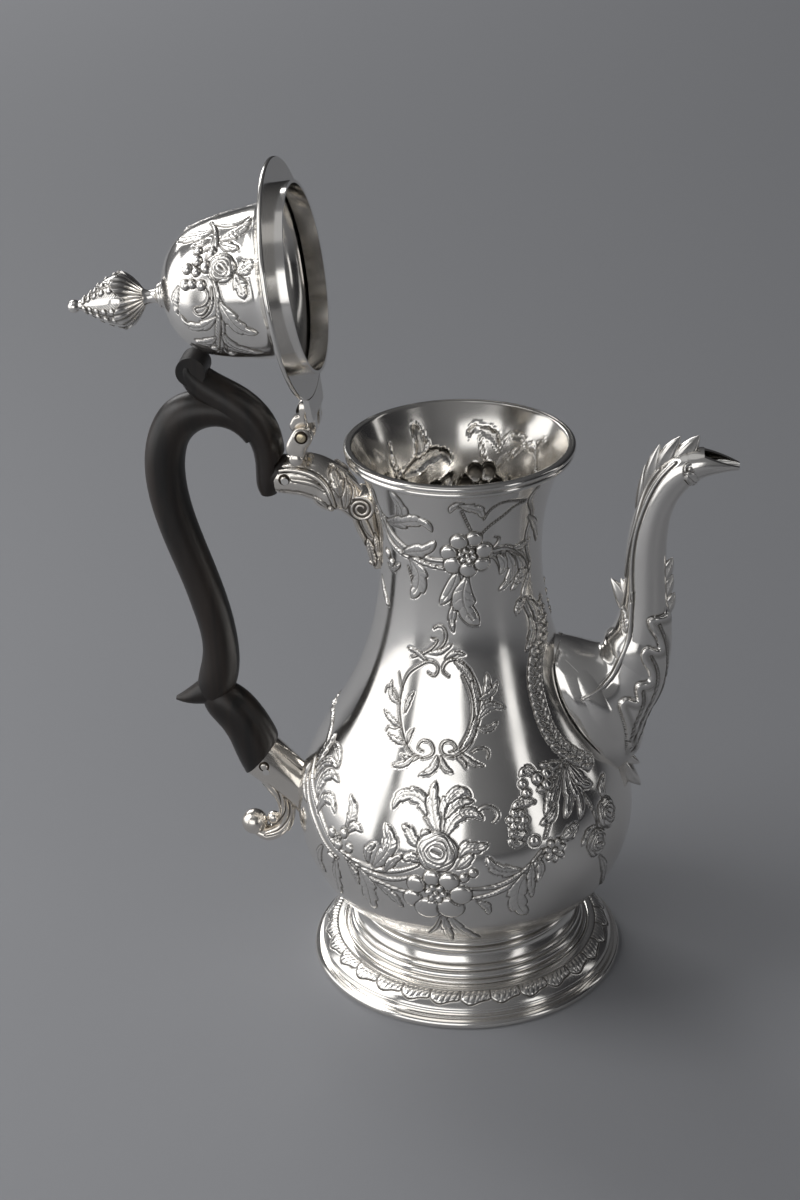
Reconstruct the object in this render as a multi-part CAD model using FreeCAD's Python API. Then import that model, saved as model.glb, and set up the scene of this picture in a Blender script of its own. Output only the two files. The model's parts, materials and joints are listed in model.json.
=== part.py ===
import FreeCAD, Part
import math
import os

# A baluster coffee pot in silver with a wooden scroll handle, standing on its foot at the origin.
# +Z is up, +X points along the spout and -X along the handle. All sizes are in millimetres.

# Silver sheet and the gaps that let pieces move
wall = 1.2
lid_wall = 1.1
seat_gap = 0.3
pin_clearance = 0.05

# Foot
foot_radius = 57.5
foot_rim_height = 2.8
foot_rim_width = 4.6
foot_wall = 1.4
foot_apron_radius = 54.4
foot_apron_height = 5.2
foot_step_radius = 44.6
foot_step_height = 10.4
foot_step_rise = 2.0
foot_collar_radius = 39.4
foot_collar_height = 21.2
foot_bead_radius = 1.3

# Body outline, from the base to the lip
base_radius = 37.6
base_height = 25.0
haunch_radius = 54.6
haunch_height = 40.0
belly_radius = 61.2
belly_height = 64.0
shoulder_radius = 41.4
shoulder_height = 110.0
seam_rise = 14.0
seam_height = shoulder_height + seam_rise
neck_radius = 28.4
neck_height = 158.0
rim_radius = 40.0
rim_height = 204.3
rim_overhang = 1.3
mouth_radius = rim_radius - rim_overhang
lip_inset = 3.6
lip_radius = rim_radius - lip_inset
rim_moulding_height = 4.5
lip_height = rim_height - rim_moulding_height

# Spout
spout_wall = 1.3
spout_port_radius = 9.0
spout_port_x = 46.0
spout_port_z = 104.0
spout_port_tilt = 25.0
thorn_thickness = 2.4

# Hinge, behind the rim
hinge_standoff = 12.2
hinge_x = -(rim_radius + hinge_standoff)
hinge_rise = 5.0
hinge_z = rim_height + hinge_rise
hinge_width = 23.0
knuckle_radius = 3.8
knuckle_gap = 0.2
hinge_pin_radius = 1.8
pin_groove_radius = 2.5
pin_groove_depth = 0.5
tongue_thickness = 2.0
tongue_flare = 3.0
hinge_post_width = 8.0
hinge_post_shift = 1.0
hinge_post_depth = 15.8
leg_overhang = 1.6

# Handle and its sockets, the upper one under the hinge and the lower one beside the belly
upper_socket_setback = 11.6
upper_socket_x = hinge_x - upper_socket_setback
upper_socket_drop = 18.3
upper_socket_z = hinge_z - upper_socket_drop
upper_socket_radius = 7.7
socket_wall = 1.2
upper_tenon_length = 13.0
lower_socket_standoff = 13.8
lower_socket_x = -(belly_radius + lower_socket_standoff)
lower_socket_rise = 13.8
lower_socket_z = belly_height + lower_socket_rise
lower_socket_radius = 8.6
lower_socket_tilt = 42.0
lower_tenon_length = 9.0
bracket_width = 8.4
tenon_clearance = 0.05
handle_pin_radius = 1.3
handle_pin_setback = 4.0
pin_head_rise = 0.5
scroll_ball_radius = 5.6
scroll_ball_lift = 1.0
volute_radius = 5.2
volute_width = 11.2

# Lid, measured up from its flange
lid_open_angle = 98.4
flange_thickness = 1.6
flange_overhang = 0.9
flange_radius = rim_radius + flange_overhang
flare_inset = 4.5
flare_radius = flange_radius - flare_inset
flare_width = 10.2
dome_foot_radius = flare_radius - flare_width
dome_foot_height = 8.0
dome_waist_inset = 1.5
dome_shoulder_inset = 4.2
dome_shoulder_height = 30.0
dome_height = 44.0
bezel_clearance = 2.8
bezel_radius = lip_radius - wall - bezel_clearance
bezel_depth = 4.7
finial_collar_radius = 4.9
finial_collar_lip = 0.6
finial_collar_height = 2.6
finial_stem_radius = 2.6
finial_stem_height = 5.0
bud_radius = 9.0
bud_height = 23.0
bud_tip_radius = 1.2
tip_ball_radius = 2.2
leaf_count = 5
leaf_rise = 13.0
leaf_spread = 1.6


def at(x, z, y=0.0):
    return FreeCAD.Vector(x, y, z)


def up_axis():
    return FreeCAD.Vector(0, 0, 1)


# An outline starts at a point; each step is a point for a line, or two points for an arc through the first
def outline(start, *steps):
    edges = []
    here = at(*start)
    for step in steps:
        if isinstance(step[0], tuple):
            end = at(*step[1])
            edges.append(Part.Arc(here, at(*step[0]), end).toShape())
        else:
            end = at(*step)
            edges.append(Part.makeLine(here, end))
        here = end
    return edges


def revolved(edges):
    face = Part.Face(Part.Wire(edges))
    return face.revolve(at(0, 0), up_axis(), 360)


def prism(edges, half_width):
    face = Part.Face(Part.Wire(edges))
    face.translate(FreeCAD.Vector(0, -half_width, 0))
    return face.extrude(FreeCAD.Vector(0, 2 * half_width, 0))


def polygon(points):
    return outline(points[0], *points[1:], points[0])


# A cylinder that lies across the pot, along Y
def cross_pin(x, z, radius, low, high):
    return Part.makeCylinder(radius, high - low, at(x, z, low), FreeCAD.Vector(0, 1, 0))


# An oval section across a tube that runs in the XZ plane, heading up from +X by the given angle
def oval(x, z, heading, half_height, half_width):
    turn = math.radians(heading)
    count = 12
    points = []
    for i in range(count):
        t = 2 * math.pi * i / count
        rise = half_height * math.cos(t)
        points.append(at(x - rise * math.sin(turn), z + rise * math.cos(turn), half_width * math.sin(t)))
    curve = Part.BSplineCurve()
    curve.interpolate(Points=points, PeriodicFlag=True)
    return Part.Wire([curve.toShape()])


# A tube through oval sections; shrink takes a wall off all round
def oval_tube(sections, shrink=0.0):
    rings = [oval(x, z, heading, a - shrink, b - shrink) for x, z, heading, a, b in sections]
    return Part.makeLoft(rings, True, False)


# Sections or points drawn from a socket's mouth, moved to where that socket is
def from_upper_socket(drawn):
    return [(upper_socket_x + row[0], upper_socket_z + row[1], *row[2:]) for row in drawn]


def from_lower_socket(drawn):
    return [(lower_socket_x + row[0], lower_socket_z + row[1], *row[2:]) for row in drawn]


# Sections of the grip between its ends: distance out from the line that joins the sockets, and share of its rise
def between_sockets(drawn):
    sections = []
    for out, share, *rest in drawn:
        x = lower_socket_x + (upper_socket_x - lower_socket_x) * share + out
        sections.append((x, lower_socket_z + (upper_socket_z - lower_socket_z) * share, *rest))
    return sections


def whole(shape):
    shape = shape.removeSplitter()
    solids = shape.Solids
    return solids[0] if len(solids) == 1 else Part.makeCompound(solids)


def largest(shape):
    return max(shape.Solids, key=lambda piece: piece.Volume)


# Body

def body_points():
    return [
        (base_radius, base_height),
        (haunch_radius, haunch_height),
        (belly_radius, belly_height),
        (shoulder_radius, shoulder_height),
        (neck_radius, neck_height),
        (lip_radius, lip_height),
    ]


def body_curve():
    curve = Part.BSplineCurve()
    curve.interpolate(Points=[at(r, z) for r, z in body_points()])
    return curve


# The same curve moved in by a wall, square to the surface at each point
def inner_curve(outer):
    points = []
    for r, z in body_points():
        along = outer.tangent(outer.parameter(at(r, z)))[0]
        points.append(at(r, z) + FreeCAD.Vector(-along.z, 0, along.x) * wall)
    curve = Part.BSplineCurve()
    curve.interpolate(Points=points)
    return curve


def body_core():
    outer = body_curve()
    edges = [outer.toShape()]
    edges += outline((lip_radius, lip_height), (mouth_radius, rim_height), (0, rim_height), (0, base_height))
    edges += outline((0, base_height), (base_radius, base_height))
    return revolved(Part.__sortEdges__(edges))


def make_body_shell():
    outer = body_curve()
    inner = inner_curve(outer)
    low = inner.value(inner.FirstParameter)
    high = inner.value(inner.LastParameter)
    floor = base_height + wall
    top = (high.x + mouth_radius - lip_radius, rim_height)
    edges = [outer.toShape(), inner.toShape()]
    edges += outline((lip_radius, lip_height), (mouth_radius, rim_height), top, (high.x, high.z))
    edges += outline((low.x, low.z), (low.x, floor), (0, floor), (0, base_height), (base_radius, base_height))
    return revolved(Part.__sortEdges__(edges))


def spout_port():
    tilt = math.radians(spout_port_tilt)
    axis = FreeCAD.Vector(math.cos(tilt), 0, math.sin(tilt))
    reach = belly_radius / 2
    return Part.makeCylinder(spout_port_radius, reach, at(spout_port_x, spout_port_z) - axis * reach / 2, axis)


# The body is raised in two parts, soldered together above the spout's root
def below_seam():
    reach = belly_radius + wall
    return Part.makeBox(2 * reach, 2 * reach, seam_height, at(-reach, 0, -reach))


def make_rim_moulding():
    bulge = (rim_height - lip_height) / 4
    return revolved(outline(
        (lip_radius, lip_height),
        (mouth_radius, rim_height),
        (rim_radius - bulge, rim_height),
        ((rim_radius, rim_height - bulge), (rim_radius - bulge, rim_height - 2 * bulge)),
        ((rim_radius - bulge / 2, lip_height + bulge), (rim_radius - 1.6 * bulge, lip_height)),
        (lip_radius, lip_height),
    ))


# Foot

def make_foot_rim():
    inner = foot_radius - foot_rim_width
    edge = foot_rim_height / 2
    return revolved(outline(
        (inner, 0),
        (foot_radius - edge / 2, 0),
        ((foot_radius, edge), (foot_radius - edge / 2, foot_rim_height)),
        (inner, foot_rim_height),
        (inner, 0),
    ))


def make_foot_pedestal():
    skirt = foot_apron_radius + 1.2
    crown = ((foot_step_radius + foot_apron_radius) / 2 + 1.2, (foot_step_height + foot_apron_height) / 2 + 1.4)
    step_top = foot_step_height + foot_step_rise
    hollow = ((foot_collar_radius + foot_step_radius) / 2 - 1.6, (foot_collar_height + step_top) / 2 - 1.8)
    bead_low = base_height - 2 * foot_bead_radius
    inner_collar = base_radius - foot_wall
    inner_step = foot_step_radius - foot_wall
    inner_low = foot_step_height - foot_wall
    return revolved(outline(
        (inner_collar, base_height),
        (base_radius, base_height),
        ((base_radius + foot_bead_radius, base_height - foot_bead_radius), (base_radius, bead_low)),
        (foot_collar_radius, bead_low),
        (foot_collar_radius, foot_collar_height),
        (hollow, (foot_step_radius - 1.4, step_top)),
        (foot_step_radius, step_top),
        (foot_step_radius, foot_step_height),
        (crown, (foot_apron_radius, foot_apron_height)),
        (foot_apron_radius, foot_rim_height + foot_wall),
        (skirt, foot_rim_height + foot_wall),
        (skirt, foot_rim_height),
        (foot_apron_radius - foot_wall, foot_rim_height),
        (foot_apron_radius - foot_wall, foot_apron_height - foot_wall),
        (inner_step, inner_low),
        (inner_collar, foot_collar_height - foot_wall),
        (inner_collar, base_height),
    ))


# Spout: sections as x, z, heading, half height and half width, from inside the body to the lip

def spout_sections():
    return [
        (38.0, 101.5, 25, 30.0, 15.5),
        (46.5, 105.5, 26, 28.0, 15.5),
        (54.2, 110.0, 28, 20.4, 13.2),
        (60.6, 122.0, 53, 13.0, 10.6),
        (63.9, 138.0, 84, 9.0, 8.6),
        (64.4, 155.0, 91, 7.2, 7.1),
        (65.2, 173.0, 85, 6.4, 6.3),
        (68.6, 185.5, 66, 5.9, 5.8),
        (75.0, 195.0, 43, 6.1, 5.7),
        (83.0, 198.8, 10, 5.2, 5.6),
        (90.5, 198.9, -4, 3.2, 4.4),
        (95.4, 198.4, -6, 2.0, 2.6),
    ]


# The open top of the pouring lip, from the last crest thorn to the tip
def lip_opening():
    return prism(polygon([(82.5, 212), (83.5, 202.2), (97, 197.6), (99, 212)]), 12)


def spout_shell(outer_body):
    sections = spout_sections()
    solid = oval_tube(sections)
    hollow = oval_tube(sections, spout_wall)
    mouth_end = Part.makeCylinder(spout_wall, 4 * spout_wall, at(95.4, 198.4) - at(2 * spout_wall, 0), at(1, 0))
    return solid.cut(hollow).cut(mouth_end).cut(lip_opening()).cut(outer_body)


def half_space(side):
    block = Part.makeBox(200, 100, 300, at(0, 0, 0 if side > 0 else -100))
    return block


def crest_outline():
    return polygon([
        (65.5, 184), (62.2, 189.5), (62.6, 197.2), (66.6, 195.4), (67.8, 205.0), (71.6, 201.6),
        (75.2, 208.6), (78.6, 205.0), (82.6, 207.4), (82.4, 201.0), (74, 193),
    ])


def heel_thorn_outline():
    return polygon([(60, 147), (57.2, 146.6), (52.8, 153.2), (57.4, 156.6), (60, 158)])


def front_thorn_outline():
    return polygon([
        (68, 146), (71.6, 146), (74.6, 150.4), (71.4, 151.2), (74.2, 156.4), (71.0, 157.4),
        (74.0, 163.4), (70.4, 164.6), (68, 162),
    ])


# The toe thorns stand out from the belly, so they are drawn from its widest point
def toe_thorn_outline():
    drawn = [(-3.2, 28), (1.6, 24), (0.8, 19.4), (5.6, 17.2), (2.4, 14.2), (6.0, 6.6), (-0.2, 8.4), (-4.2, 16)]
    return polygon([(belly_radius + out, belly_height + rise) for out, rise in drawn])


def make_thorns(outline_edges, solid, outer_body):
    plate = prism(outline_edges, thorn_thickness / 2)
    return whole(plate.cut(solid).cut(outer_body).cut(lip_opening()))


# Handle sockets

def upper_socket_sections():
    return from_upper_socket([
        (0, 0, 0, upper_socket_radius, upper_socket_radius),
        (9, -0.2, -6, upper_socket_radius, upper_socket_radius),
        (16.8, -3.6, -30, 7.0, 7.0),
        (21.8, -7.0, -34, 5.8, 5.8),
        (27.8, -10.6, -28, 5.0, 5.0),
        (39.8, -15.5, -20, 6.4, 6.0),
    ])


def make_upper_socket(outer_body):
    tube = oval_tube(upper_socket_sections())
    bore = socket_bore(upper_socket_x, upper_socket_z, 0, upper_socket_radius, upper_tenon_length)
    return tube.cut(outer_body).cut(bore).cut(upper_pin_hole())


# The blind hole that takes the wooden tenon
def socket_bore(x, z, heading, radius, depth):
    turn = math.radians(heading)
    axis = FreeCAD.Vector(math.cos(turn), 0, math.sin(turn))
    return Part.makeCylinder(radius - socket_wall, depth + seat_gap, at(x, z), axis)


def upper_pin_place():
    return upper_socket_x + handle_pin_setback, upper_socket_z


def upper_pin_hole():
    x, z = upper_pin_place()
    return cross_pin(x, z, handle_pin_radius, -2 * upper_socket_radius, 2 * upper_socket_radius)


def lower_pin_place():
    turn = math.radians(lower_socket_tilt)
    reach = handle_pin_setback
    return lower_socket_x + reach * math.cos(turn), lower_socket_z - reach * math.sin(turn)


def lower_pin_hole():
    x, z = lower_pin_place()
    return cross_pin(x, z, handle_pin_radius, -2 * lower_socket_radius, 2 * lower_socket_radius)


# A rivet through socket and tenon, with a low head on each side
def make_handle_pin(place, socket_radius):
    x, z = place
    reach = socket_radius + pin_head_rise
    return cross_pin(x, z, handle_pin_radius - pin_clearance / 2, -reach, reach)


def make_upper_collar(tube):
    drawn = [(17.8, -4.2, -31, 7.4, 7.4), (20.2, -5.8, -33, 8.8, 8.6), (22.2, -7.2, -33, 7.0, 7.0)]
    return whole(oval_tube(from_upper_socket(drawn)).cut(tube))


def make_upper_bracket(tube, collar, outer_body):
    plate = prism(polygon(from_upper_socket([
        (22.8, -11.0), (23.6, -16.0), (26.4, -23.0), (29.2, -31.0), (30.6, -37.4), (33.2, -39.0),
        (38.8, -35.0), (38.8, -9.0),
    ])), bracket_width / 2)
    return largest(plate.cut(tube).cut(collar).cut(outer_body))


def lower_socket_sections():
    turn = math.radians(lower_socket_tilt)
    sections = []
    for run, radius in ((0, 0), (8, -0.4), (16, -0.8), (26, 0)):
        x = lower_socket_x + run * math.cos(turn)
        z = lower_socket_z - run * math.sin(turn)
        size = lower_socket_radius + radius
        sections.append((x, z, -lower_socket_tilt, size, size))
    return sections


def make_lower_socket(outer_body):
    tube = oval_tube(lower_socket_sections())
    bore = socket_bore(lower_socket_x, lower_socket_z, -lower_socket_tilt, lower_socket_radius, lower_tenon_length)
    return tube.cut(outer_body).cut(bore).cut(lower_pin_hole())


def make_lower_scroll(tube, outer_body):
    sections = from_lower_socket([
        (5.5, -11.8, -62, 4.2, 4.4),
        (8.4, -19.3, -78, 4.0, 4.4),
        (8.4, -26.3, -102, 3.8, 4.4),
        (4.6, -31.4, -148, 3.6, 4.4),
        (-0.4, -32.2, -190, 3.4, 4.4),
        (-3.6, -30.0, -225, 3.0, 4.2),
    ])
    end_x, end_z = sections[-1][:2]
    ball = Part.makeSphere(scroll_ball_radius, at(end_x, end_z + scroll_ball_lift))
    return whole(oval_tube(sections).fuse(ball).cut(tube).cut(outer_body))


# Handle: a C curve with a rolled scroll on top, a spur low down and a tenon at each end

def scroll_sections():
    return from_upper_socket([
        (-2.8, -7.0, 95, 3.4, 5.4),
        (-2.4, 0, 92, 5.0, 6.6),
        (-2.6, 9.0, 96, 5.4, 6.8),
        (-5.8, 17.6, 118, 6.2, 6.9),
        (-12.6, 24.4, 142, 6.8, 6.8),
        (-20.8, 29.8, 147, 6.2, 6.5),
        (-27.2, 35.4, 132, 5.0, 6.2),
        (-28.4, 40.0, 70, 3.4, 5.8),
    ])


def main_sections():
    top = from_upper_socket([
        (-6.2, 15.0, 130, 5.6, 6.0),
        (-14.2, 21.6, 158, 5.6, 6.4),
        (-24.2, 23.2, 192, 6.6, 6.9),
        (-33.0, 19.4, 222, 7.4, 7.2),
        (-38.2, 10.6, 250, 7.1, 7.2),
        (-39.6, -4.0, 272, 7.0, 7.0),
    ])
    middle = between_sockets([
        (-34.3, 0.814, 286, 6.8, 6.9),
        (-27.0, 0.661, 287, 6.6, 6.8),
        (-20.6, 0.514, 285, 6.5, 6.8),
        (-17.0, 0.373, 270, 6.6, 6.9),
    ])
    foot = from_lower_socket([
        (-14.6, 31.2, 258, 7.0, 7.0),
        (-16.6, 24.8, 250, 5.6, 6.0),
    ])
    return top + middle + foot


def low_sections():
    return from_lower_socket([
        (-17.0, 26.4, 310, 4.6, 5.0),
        (-13.2, 22.6, 318, 7.6, 7.0),
        (-8.8, 18.2, 314, 8.3, 7.6),
        (-4.6, 11.8, 306, 8.5, 8.0),
        (-1.9, 5.6, 302, 8.8, 8.4),
        (0, 0, 318, 9.0, 8.8),
    ])


def spur_sections():
    return from_lower_socket([
        (-13.0, 29.2, 205, 5.6, 6.0),
        (-20.0, 25.4, 205, 4.6, 5.2),
        (-26.2, 23.1, 200, 2.4, 3.4),
        (-30.4, 22.4, 180, 0.7, 1.2),
    ])


def tenon(x, z, heading, radius, length):
    turn = math.radians(heading)
    axis = FreeCAD.Vector(math.cos(turn), 0, math.sin(turn))
    root = socket_wall * 2
    size = radius - socket_wall - tenon_clearance
    return Part.makeCylinder(size, length + root, at(x, z) - axis * root, axis)


def make_handle_grip(upper_tube, lower_tube):
    wood = oval_tube(main_sections())
    (volute_x, volute_z), = from_upper_socket([(-27.2, 38.4)])
    volute = cross_pin(volute_x, volute_z, volute_radius, -volute_width / 2, volute_width / 2)
    for piece in (oval_tube(scroll_sections()), volute, oval_tube(low_sections()), oval_tube(spur_sections())):
        wood = wood.fuse(piece)
    wood = wood.cut(upper_tube).cut(lower_tube)
    wood = wood.fuse(tenon(upper_socket_x, upper_socket_z, 0, upper_socket_radius, upper_tenon_length))
    low = tenon(lower_socket_x, lower_socket_z, -lower_socket_tilt, lower_socket_radius, lower_tenon_length)
    return whole(wood.fuse(low).cut(upper_pin_hole()).cut(lower_pin_hole()))


# Hinge: five interleaved knuckles on one pin, three on the body and two on the lid

def knuckle_spans():
    pitch = (hinge_width + knuckle_gap) / 5
    low = -hinge_width / 2
    return [(low + i * pitch, low + (i + 1) * pitch - knuckle_gap) for i in range(5)]


def pin_bore(clearance):
    return cross_pin(hinge_x, hinge_z, hinge_pin_radius + clearance, -hinge_width, hinge_width)


def pin_grooves():
    half = hinge_width / 2
    rings = []
    for low in (-half, half - pin_groove_depth):
        rings.append(cross_pin(hinge_x, hinge_z, pin_groove_radius, low, low + pin_groove_depth))
    return rings


def make_hinge_stand(tube):
    lowest = hinge_z - knuckle_radius - 2 * seat_gap
    front = hinge_x + hinge_post_width / 2 - hinge_post_shift
    back = hinge_x - knuckle_radius - leg_overhang
    post = prism(polygon([
        (hinge_x - hinge_post_width / 2 - hinge_post_shift, hinge_z - hinge_post_depth),
        (front, hinge_z - hinge_post_depth),
        (front, lowest - leg_overhang),
        (hinge_x + leg_overhang, lowest),
        (back, lowest),
    ]), hinge_width / 2)
    stand = largest(post.cut(tube))
    slope = knuckle_radius * 0.7
    for low, high in knuckle_spans()[0::2]:
        barrel = cross_pin(hinge_x, hinge_z, knuckle_radius, low, high)
        leg = prism(polygon([
            (back, lowest - leg_overhang / 2),
            (hinge_x + leg_overhang / 2, lowest - leg_overhang / 2),
            (hinge_x + slope, hinge_z - slope),
            (hinge_x, hinge_z),
            (hinge_x - knuckle_radius, hinge_z),
            (back, hinge_z - slope),
        ]), (high - low) / 2)
        leg.translate(FreeCAD.Vector(0, (low + high) / 2, 0))
        stand = stand.fuse(barrel).fuse(leg)
    for piece in pin_grooves() + [pin_bore(pin_clearance / 2)]:
        stand = stand.cut(piece)
    return whole(stand)


def make_hinge_pin():
    half = hinge_width / 2
    return cross_pin(hinge_x, hinge_z, hinge_pin_radius, -half, half)


# The lid is drawn closed; opened() swings a closed piece up about the hinge pin

def opened(shape):
    shape = shape.copy()
    shape.rotate(at(hinge_x, hinge_z), FreeCAD.Vector(0, -1, 0), lid_open_angle)
    return shape


def lid_base():
    return rim_height + seat_gap


def make_lid_flange():
    low = lid_base()
    inner = bezel_radius - lid_wall
    edge = flange_thickness / 2
    return revolved(outline(
        (inner, low),
        (flange_radius - edge / 2, low),
        ((flange_radius, low + edge), (flange_radius - edge / 2, low + flange_thickness)),
        (inner, low + flange_thickness),
        (inner, low),
    ))


def make_lid_bezel():
    high = lid_base()
    tube = Part.makeCylinder(bezel_radius, bezel_depth, at(0, high - bezel_depth), up_axis())
    bore = Part.makeCylinder(bezel_radius - lid_wall, bezel_depth, at(0, high - bezel_depth), up_axis())
    return tube.cut(bore)


# The dome is a bell: a flare above the flange, sides that lean in and a rounded cap
def make_lid_dome():
    low = lid_base() + flange_thickness
    foot = lid_base() + dome_foot_height
    shoulder = lid_base() + dome_shoulder_height
    top = lid_base() + dome_height
    flat = finial_collar_radius
    bend = math.sqrt(0.5)
    waist_radius = dome_foot_radius - dome_waist_inset
    cap_foot_radius = dome_foot_radius - dome_shoulder_inset
    waist = (foot + shoulder) / 2
    cap = (flat + (cap_foot_radius - flat) * 0.63, shoulder + (top - shoulder) * 0.66)
    flare = (dome_foot_radius + flare_width * 0.36, low + lid_wall + (foot - low - lid_wall) * 0.26)
    inner_flare = (flare[0] - lid_wall * bend, flare[1] - lid_wall * bend)
    inner_cap = (cap[0] - lid_wall * bend, cap[1] - lid_wall * bend)
    return revolved(outline(
        (flare_radius - 2 * lid_wall, low),
        (flare_radius, low),
        (flare_radius, low + lid_wall),
        (flare, (dome_foot_radius, foot)),
        ((waist_radius, waist), (cap_foot_radius, shoulder)),
        (cap, (flat, top)),
        (0, top),
        (0, top - lid_wall),
        (flat, top - lid_wall),
        (inner_cap, (cap_foot_radius - lid_wall, shoulder)),
        ((waist_radius - lid_wall, waist), (dome_foot_radius - lid_wall, foot)),
        (inner_flare, (flare_radius - 2 * lid_wall, low)),
    ))


# Finial, stacked upward from the top of the dome

def collar_base():
    return lid_base() + dome_height


def stem_base():
    return collar_base() + finial_collar_height


def bud_base():
    return stem_base() + finial_stem_height


def tip_base():
    return bud_base() + bud_height


def make_finial_collar():
    low = collar_base()
    half = finial_collar_height / 2
    waist = finial_collar_radius - finial_collar_lip
    return revolved(outline(
        (0, low),
        (waist, low),
        ((finial_collar_radius, low + half / 2), (waist, low + half)),
        ((waist, low + 1.5 * half), (waist - finial_collar_lip, low + 2 * half)),
        (0, low + 2 * half),
        (0, low),
    ))


def make_finial_stem():
    low = stem_base()
    high = low + finial_stem_height
    wide = finial_stem_radius + 0.5
    return revolved(outline(
        (0, low),
        (wide, low),
        ((finial_stem_radius - 0.3, (low + high) / 2), (wide, high)),
        (0, high),
        (0, low),
    ))


def bud_curve_points():
    low = bud_base()
    return [
        (finial_stem_radius, low),
        (bud_radius * 0.74, low + bud_height * 0.16),
        (bud_radius, low + bud_height * 0.40),
        (bud_radius * 0.66, low + bud_height * 0.70),
        (bud_tip_radius, low + bud_height),
    ]


def make_finial_bud():
    curve = Part.BSplineCurve()
    curve.interpolate(Points=[at(r, z) for r, z in bud_curve_points()])
    low = bud_base()
    edges = [curve.toShape()]
    edges += outline((bud_tip_radius, low + bud_height), (0, low + bud_height), (0, low), (finial_stem_radius, low))
    return revolved(Part.__sortEdges__(edges))


# Leaves that clasp the lower half of the bud, evenly round it
def make_finial_leaves(bud):
    low = bud_base()
    leaf = prism(polygon([
        (finial_stem_radius, low + 0.4),
        (bud_radius * 0.74 + 0.8, low + bud_height * 0.15),
        (bud_radius + 1.0, low + leaf_rise * 0.55),
        (bud_radius + leaf_spread, low + leaf_rise),
        (bud_radius * 0.7, low + leaf_rise * 0.9),
        (0.8, low + leaf_rise * 0.4),
    ]), bud_radius * 0.36)
    leaves = []
    for i in range(leaf_count):
        turned = leaf.copy()
        turned.rotate(at(0, 0), up_axis(), 360 * i / leaf_count)
        leaves.append(turned)
    core = Part.makeCylinder(finial_stem_radius, bud_height, at(0, low), up_axis())
    joined = leaves[0].fuse(leaves[1:]).cut(core).cut(bud)
    return whole(joined)


def make_finial_tip():
    low = tip_base()
    sink = math.sqrt(tip_ball_radius ** 2 - bud_tip_radius ** 2)
    ball = Part.makeSphere(tip_ball_radius, at(0, low + sink))
    below = Part.makeBox(4 * tip_ball_radius, 4 * tip_ball_radius, tip_ball_radius)
    below.translate(at(-2 * tip_ball_radius, low - tip_ball_radius, -2 * tip_ball_radius))
    return ball.cut(below)


def make_lid_tongue(flange):
    low = lid_base()
    barrel_low = hinge_z - knuckle_radius
    reach = -math.sqrt(flange_radius ** 2 - (hinge_width / 2 + tongue_flare / 2) ** 2) + tongue_thickness / 2
    plate = Part.Face(Part.makePolygon([
        at(hinge_x + knuckle_radius + 1.0, low, -hinge_width / 2),
        at(reach, low, -(hinge_width + tongue_flare) / 2),
        at(reach, low, (hinge_width + tongue_flare) / 2),
        at(hinge_x + knuckle_radius + 1.0, low, hinge_width / 2),
        at(hinge_x + knuckle_radius + 1.0, low, -hinge_width / 2),
    ])).extrude(at(0, tongue_thickness))
    disc = Part.makeCylinder(flange_radius, 4 * tongue_thickness, at(0, low - tongue_thickness), up_axis())
    tongue = plate.cut(disc)
    for low_y, high_y in knuckle_spans()[1::2]:
        barrel = cross_pin(hinge_x, hinge_z, knuckle_radius, low_y, high_y)
        arm = prism(polygon([
            (hinge_x, barrel_low + 0.02),
            (hinge_x + knuckle_radius + 2.0, low),
            (hinge_x + knuckle_radius + 2.0, low + tongue_thickness),
            (hinge_x + knuckle_radius * 0.8, hinge_z),
            (hinge_x, hinge_z),
        ]), (high_y - low_y) / 2)
        arm.translate(FreeCAD.Vector(0, (low_y + high_y) / 2, 0))
        tongue = tongue.fuse(barrel).fuse(arm)
    return whole(tongue.cut(pin_bore(pin_clearance)).cut(flange))


def build():
    outer_body = body_core()
    body = make_body_shell().cut(spout_port())
    spout_solid = oval_tube(spout_sections())
    shell = spout_shell(outer_body)
    upper_tube = oval_tube(upper_socket_sections())
    lower_tube = oval_tube(lower_socket_sections())
    collar = make_upper_collar(upper_tube)
    flange = make_lid_flange()
    bud = make_finial_bud()
    lid = {
        "lid_flange": flange,
        "lid_dome": make_lid_dome(),
        "lid_bezel": make_lid_bezel(),
        "lid_hinge_tongue": make_lid_tongue(flange),
        "finial_collar": make_finial_collar(),
        "finial_stem": make_finial_stem(),
        "finial_bud": bud,
        "finial_leaves": make_finial_leaves(bud),
        "finial_tip": make_finial_tip(),
    }
    pieces = {
        "belly_shell": whole(body.common(below_seam())),
        "neck_shell": whole(body.cut(below_seam())),
        "rim_moulding": make_rim_moulding(),
        "foot_pedestal": make_foot_pedestal(),
        "foot_rim": make_foot_rim(),
        "spout_left_half": whole(shell.common(half_space(1))),
        "spout_right_half": whole(shell.common(half_space(-1))),
        "spout_crest_thorns": make_thorns(crest_outline(), spout_solid, outer_body),
        "spout_heel_thorn": make_thorns(heel_thorn_outline(), spout_solid, outer_body),
        "spout_front_thorns": make_thorns(front_thorn_outline(), spout_solid, outer_body),
        "spout_toe_thorns": make_thorns(toe_thorn_outline(), spout_solid, outer_body),
        "upper_socket": make_upper_socket(outer_body),
        "upper_socket_collar": collar,
        "upper_socket_bracket": make_upper_bracket(upper_tube, collar, outer_body),
        "upper_handle_pin": make_handle_pin(upper_pin_place(), upper_socket_radius),
        "lower_socket": make_lower_socket(outer_body),
        "lower_socket_scroll": make_lower_scroll(lower_tube, outer_body),
        "lower_handle_pin": make_handle_pin(lower_pin_place(), lower_socket_radius),
        "handle_grip": make_handle_grip(upper_tube, lower_tube),
        "hinge_stand": make_hinge_stand(upper_tube),
        "hinge_pin": make_hinge_pin(),
    }
    pieces.update({name: opened(shape) for name, shape in lid.items()})
    return pieces


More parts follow.
